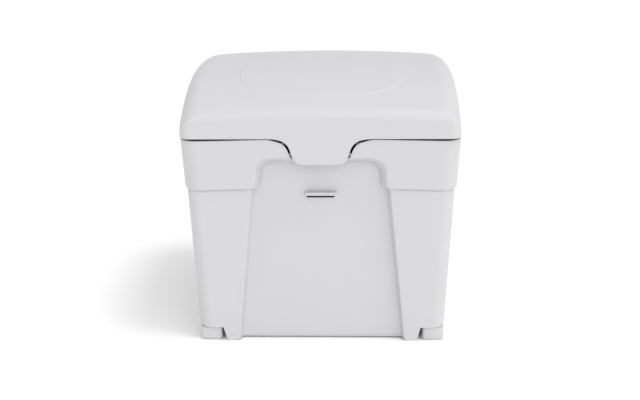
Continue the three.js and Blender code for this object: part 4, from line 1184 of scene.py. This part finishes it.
# ---------------------------------------------------------------- hinges
def make_hinge_bracket():
    ears = []
    for x in (76, 136):
        web = [(205.4, 318), (208.3, 318), (217.2, 343.5), (211.5, 351), (205.8, 345), (205.4, 336)]
        ears.append(prism(soften(web, 2.4, steps=4), x + 0.1, x + 7.9, 0.6, "x"))
        ears.append(bearing(x, x + 8, 0.5, HINGE["y"], HINGE["z"]))
    base = prism(rounded_rect(72, 148, 306, 335, 4, 5), 205.3, 208.3, 0.6, "y")
    return joined(base, *ears)


def make_hinge_pin():
    profile = [(0.02, 74.2), (2.6, 74.2), (3, 74.7), (3, 145.2), (2.6, 145.7), (0.02, 145.7)]
    return lathe(profile, HINGE["y"], HINGE["z"], "x", 32)


replace_pairs(hinge_bracket=make_hinge_bracket(), hinge_pin=make_hinge_pin())


# ---------------------------------------------------------------- seat and buffers
def make_seat():
    def outer(inset, z):
        return oval(160 - inset, 178 - inset, -18, z, 2.4, 144)

    def inner(inset, z):
        return oval(108 + inset, 132 + inset, -18, z, 2.1, 144)

    rows = [outer(4, 346), outer(1.2, 347.4), outer(0, 350), outer(0, 357.6), outer(0.9, 360.6)]
    rows += [outer(3, 363.4), outer(6, 365.2), outer(10, 366), outer(18, 366.6), outer(26, 366.7)]
    rows += [inner(16, 366.6), inner(9, 366), inner(5, 365), inner(2, 362.8), inner(0.4, 360), inner(0, 357)]
    rows += [inner(0, 350), inner(0.9, 347.3), inner(3.2, 346)]
    ring = grid(rows, wrap=True, close=True)
    y, z, r = HINGE["y"], HINGE["z"], HINGE["r"]
    arm = [(120, 347), (120, 355.5), (150, 355.5), (203.5, 353.2), (y, z + r), (y + r * 0.6, z + r * 0.5)]
    arm += [(y, z - r * 0.2), (y - r * 0.9, z + 0.6), (130, 346)]
    lug = prism(soften(arm, 2.2, steps=4), 88.1, 107.9, 0.8, "x")
    return joined(ring, both(joined(lug, bearing(88, 108, 0.6, y, z))))


replace("seat_ring", make_seat(), sharp=40)
for index, (x, y) in enumerate(((88, -132), (88, 92), (-88, -132), (-88, 92))):
    buffer = [(0.02, 339.1), (4.6, 339.1), (6.3, 340), (7, 341.6), (7, 345.7), (0.02, 345.7)]
    replace(f"seat_buffer_{index + 1}", lathe(buffer, x, y, sides=48))

buffer_foot = block((111.2, 128.8), (-211, -205.4), (336.4, 347.8), 1.4, 0.6)
buffer_pad = block((111.2, 128.8), (-213.1, -210.3), (345.1, 351.9), 1.2, 0.6)
replace_pairs(lid_buffer=joined(buffer_foot, buffer_pad))


# ---------------------------------------------------------------- stage
LENS = 67.5
PITCH = math.radians(18)
YAW = math.radians(1.5)
ROLL = math.radians(0.5)
FRONT = Vector((0.0044, -0.215, 0.0))
DISTANCE = 1.7705
EYE_HEIGHT = 0.8217


def add_camera():
    data = bpy.data.cameras.new("camera")
    data.lens = LENS
    data.sensor_width = 36
    camera = add_object("camera", data)
    camera.location = FRONT + Vector((math.sin(YAW) * DISTANCE, -math.cos(YAW) * DISTANCE, EYE_HEIGHT))
    camera.rotation_euler = (math.pi / 2 - PITCH, ROLL, YAW)
    bpy.context.scene.camera = camera


def add_soft_sun(name, towards, strength, softness):
    """An even light from one side. softness is the angle it fills in the sky, in degrees."""
    data = bpy.data.lights.new(name, "SUN")
    data.energy = strength
    data.angle = math.radians(softness)
    light = add_object(name, data)
    light.rotation_euler = (-Vector(towards)).to_track_quat("-Z", "Y").to_euler()


def add_floor():
    size = 14
    mesh = bpy.data.meshes.new("floor")
    points = [(x, y, 0) for x, y in corners_of(-size, size, -size, size)]
    mesh.from_pydata(points, [], [(0, 1, 2, 3)])
    floor = add_object("floor", mesh)
    material, tree, shader = new_material("floor", 0.9)
    shader.inputs["Specular IOR Level"].default_value = 0.0
    colour = ramp(tree, noise(tree, 2), (0.96, 0.96, 0.96), (0.97, 0.97, 0.97))
    tree.links.new(colour, shader.inputs["Base Color"])
    mesh.materials.append(material)


add_camera()
add_floor()
world = bpy.data.worlds.new("studio")
world.use_nodes = True
world.node_tree.nodes["Background"].inputs["Color"].default_value = (1, 1, 1, 1)
world.node_tree.nodes["Background"].inputs["Strength"].default_value = 0.8
bpy.context.scene.world = world
add_soft_sun("key", (1.0, -0.3, 2.4), 0.95, 22)
add_soft_sun("fill", (1.1, -2.0, 0.7), 1.3, 80)
bpy.context.scene.view_settings.view_transform = "Standard"
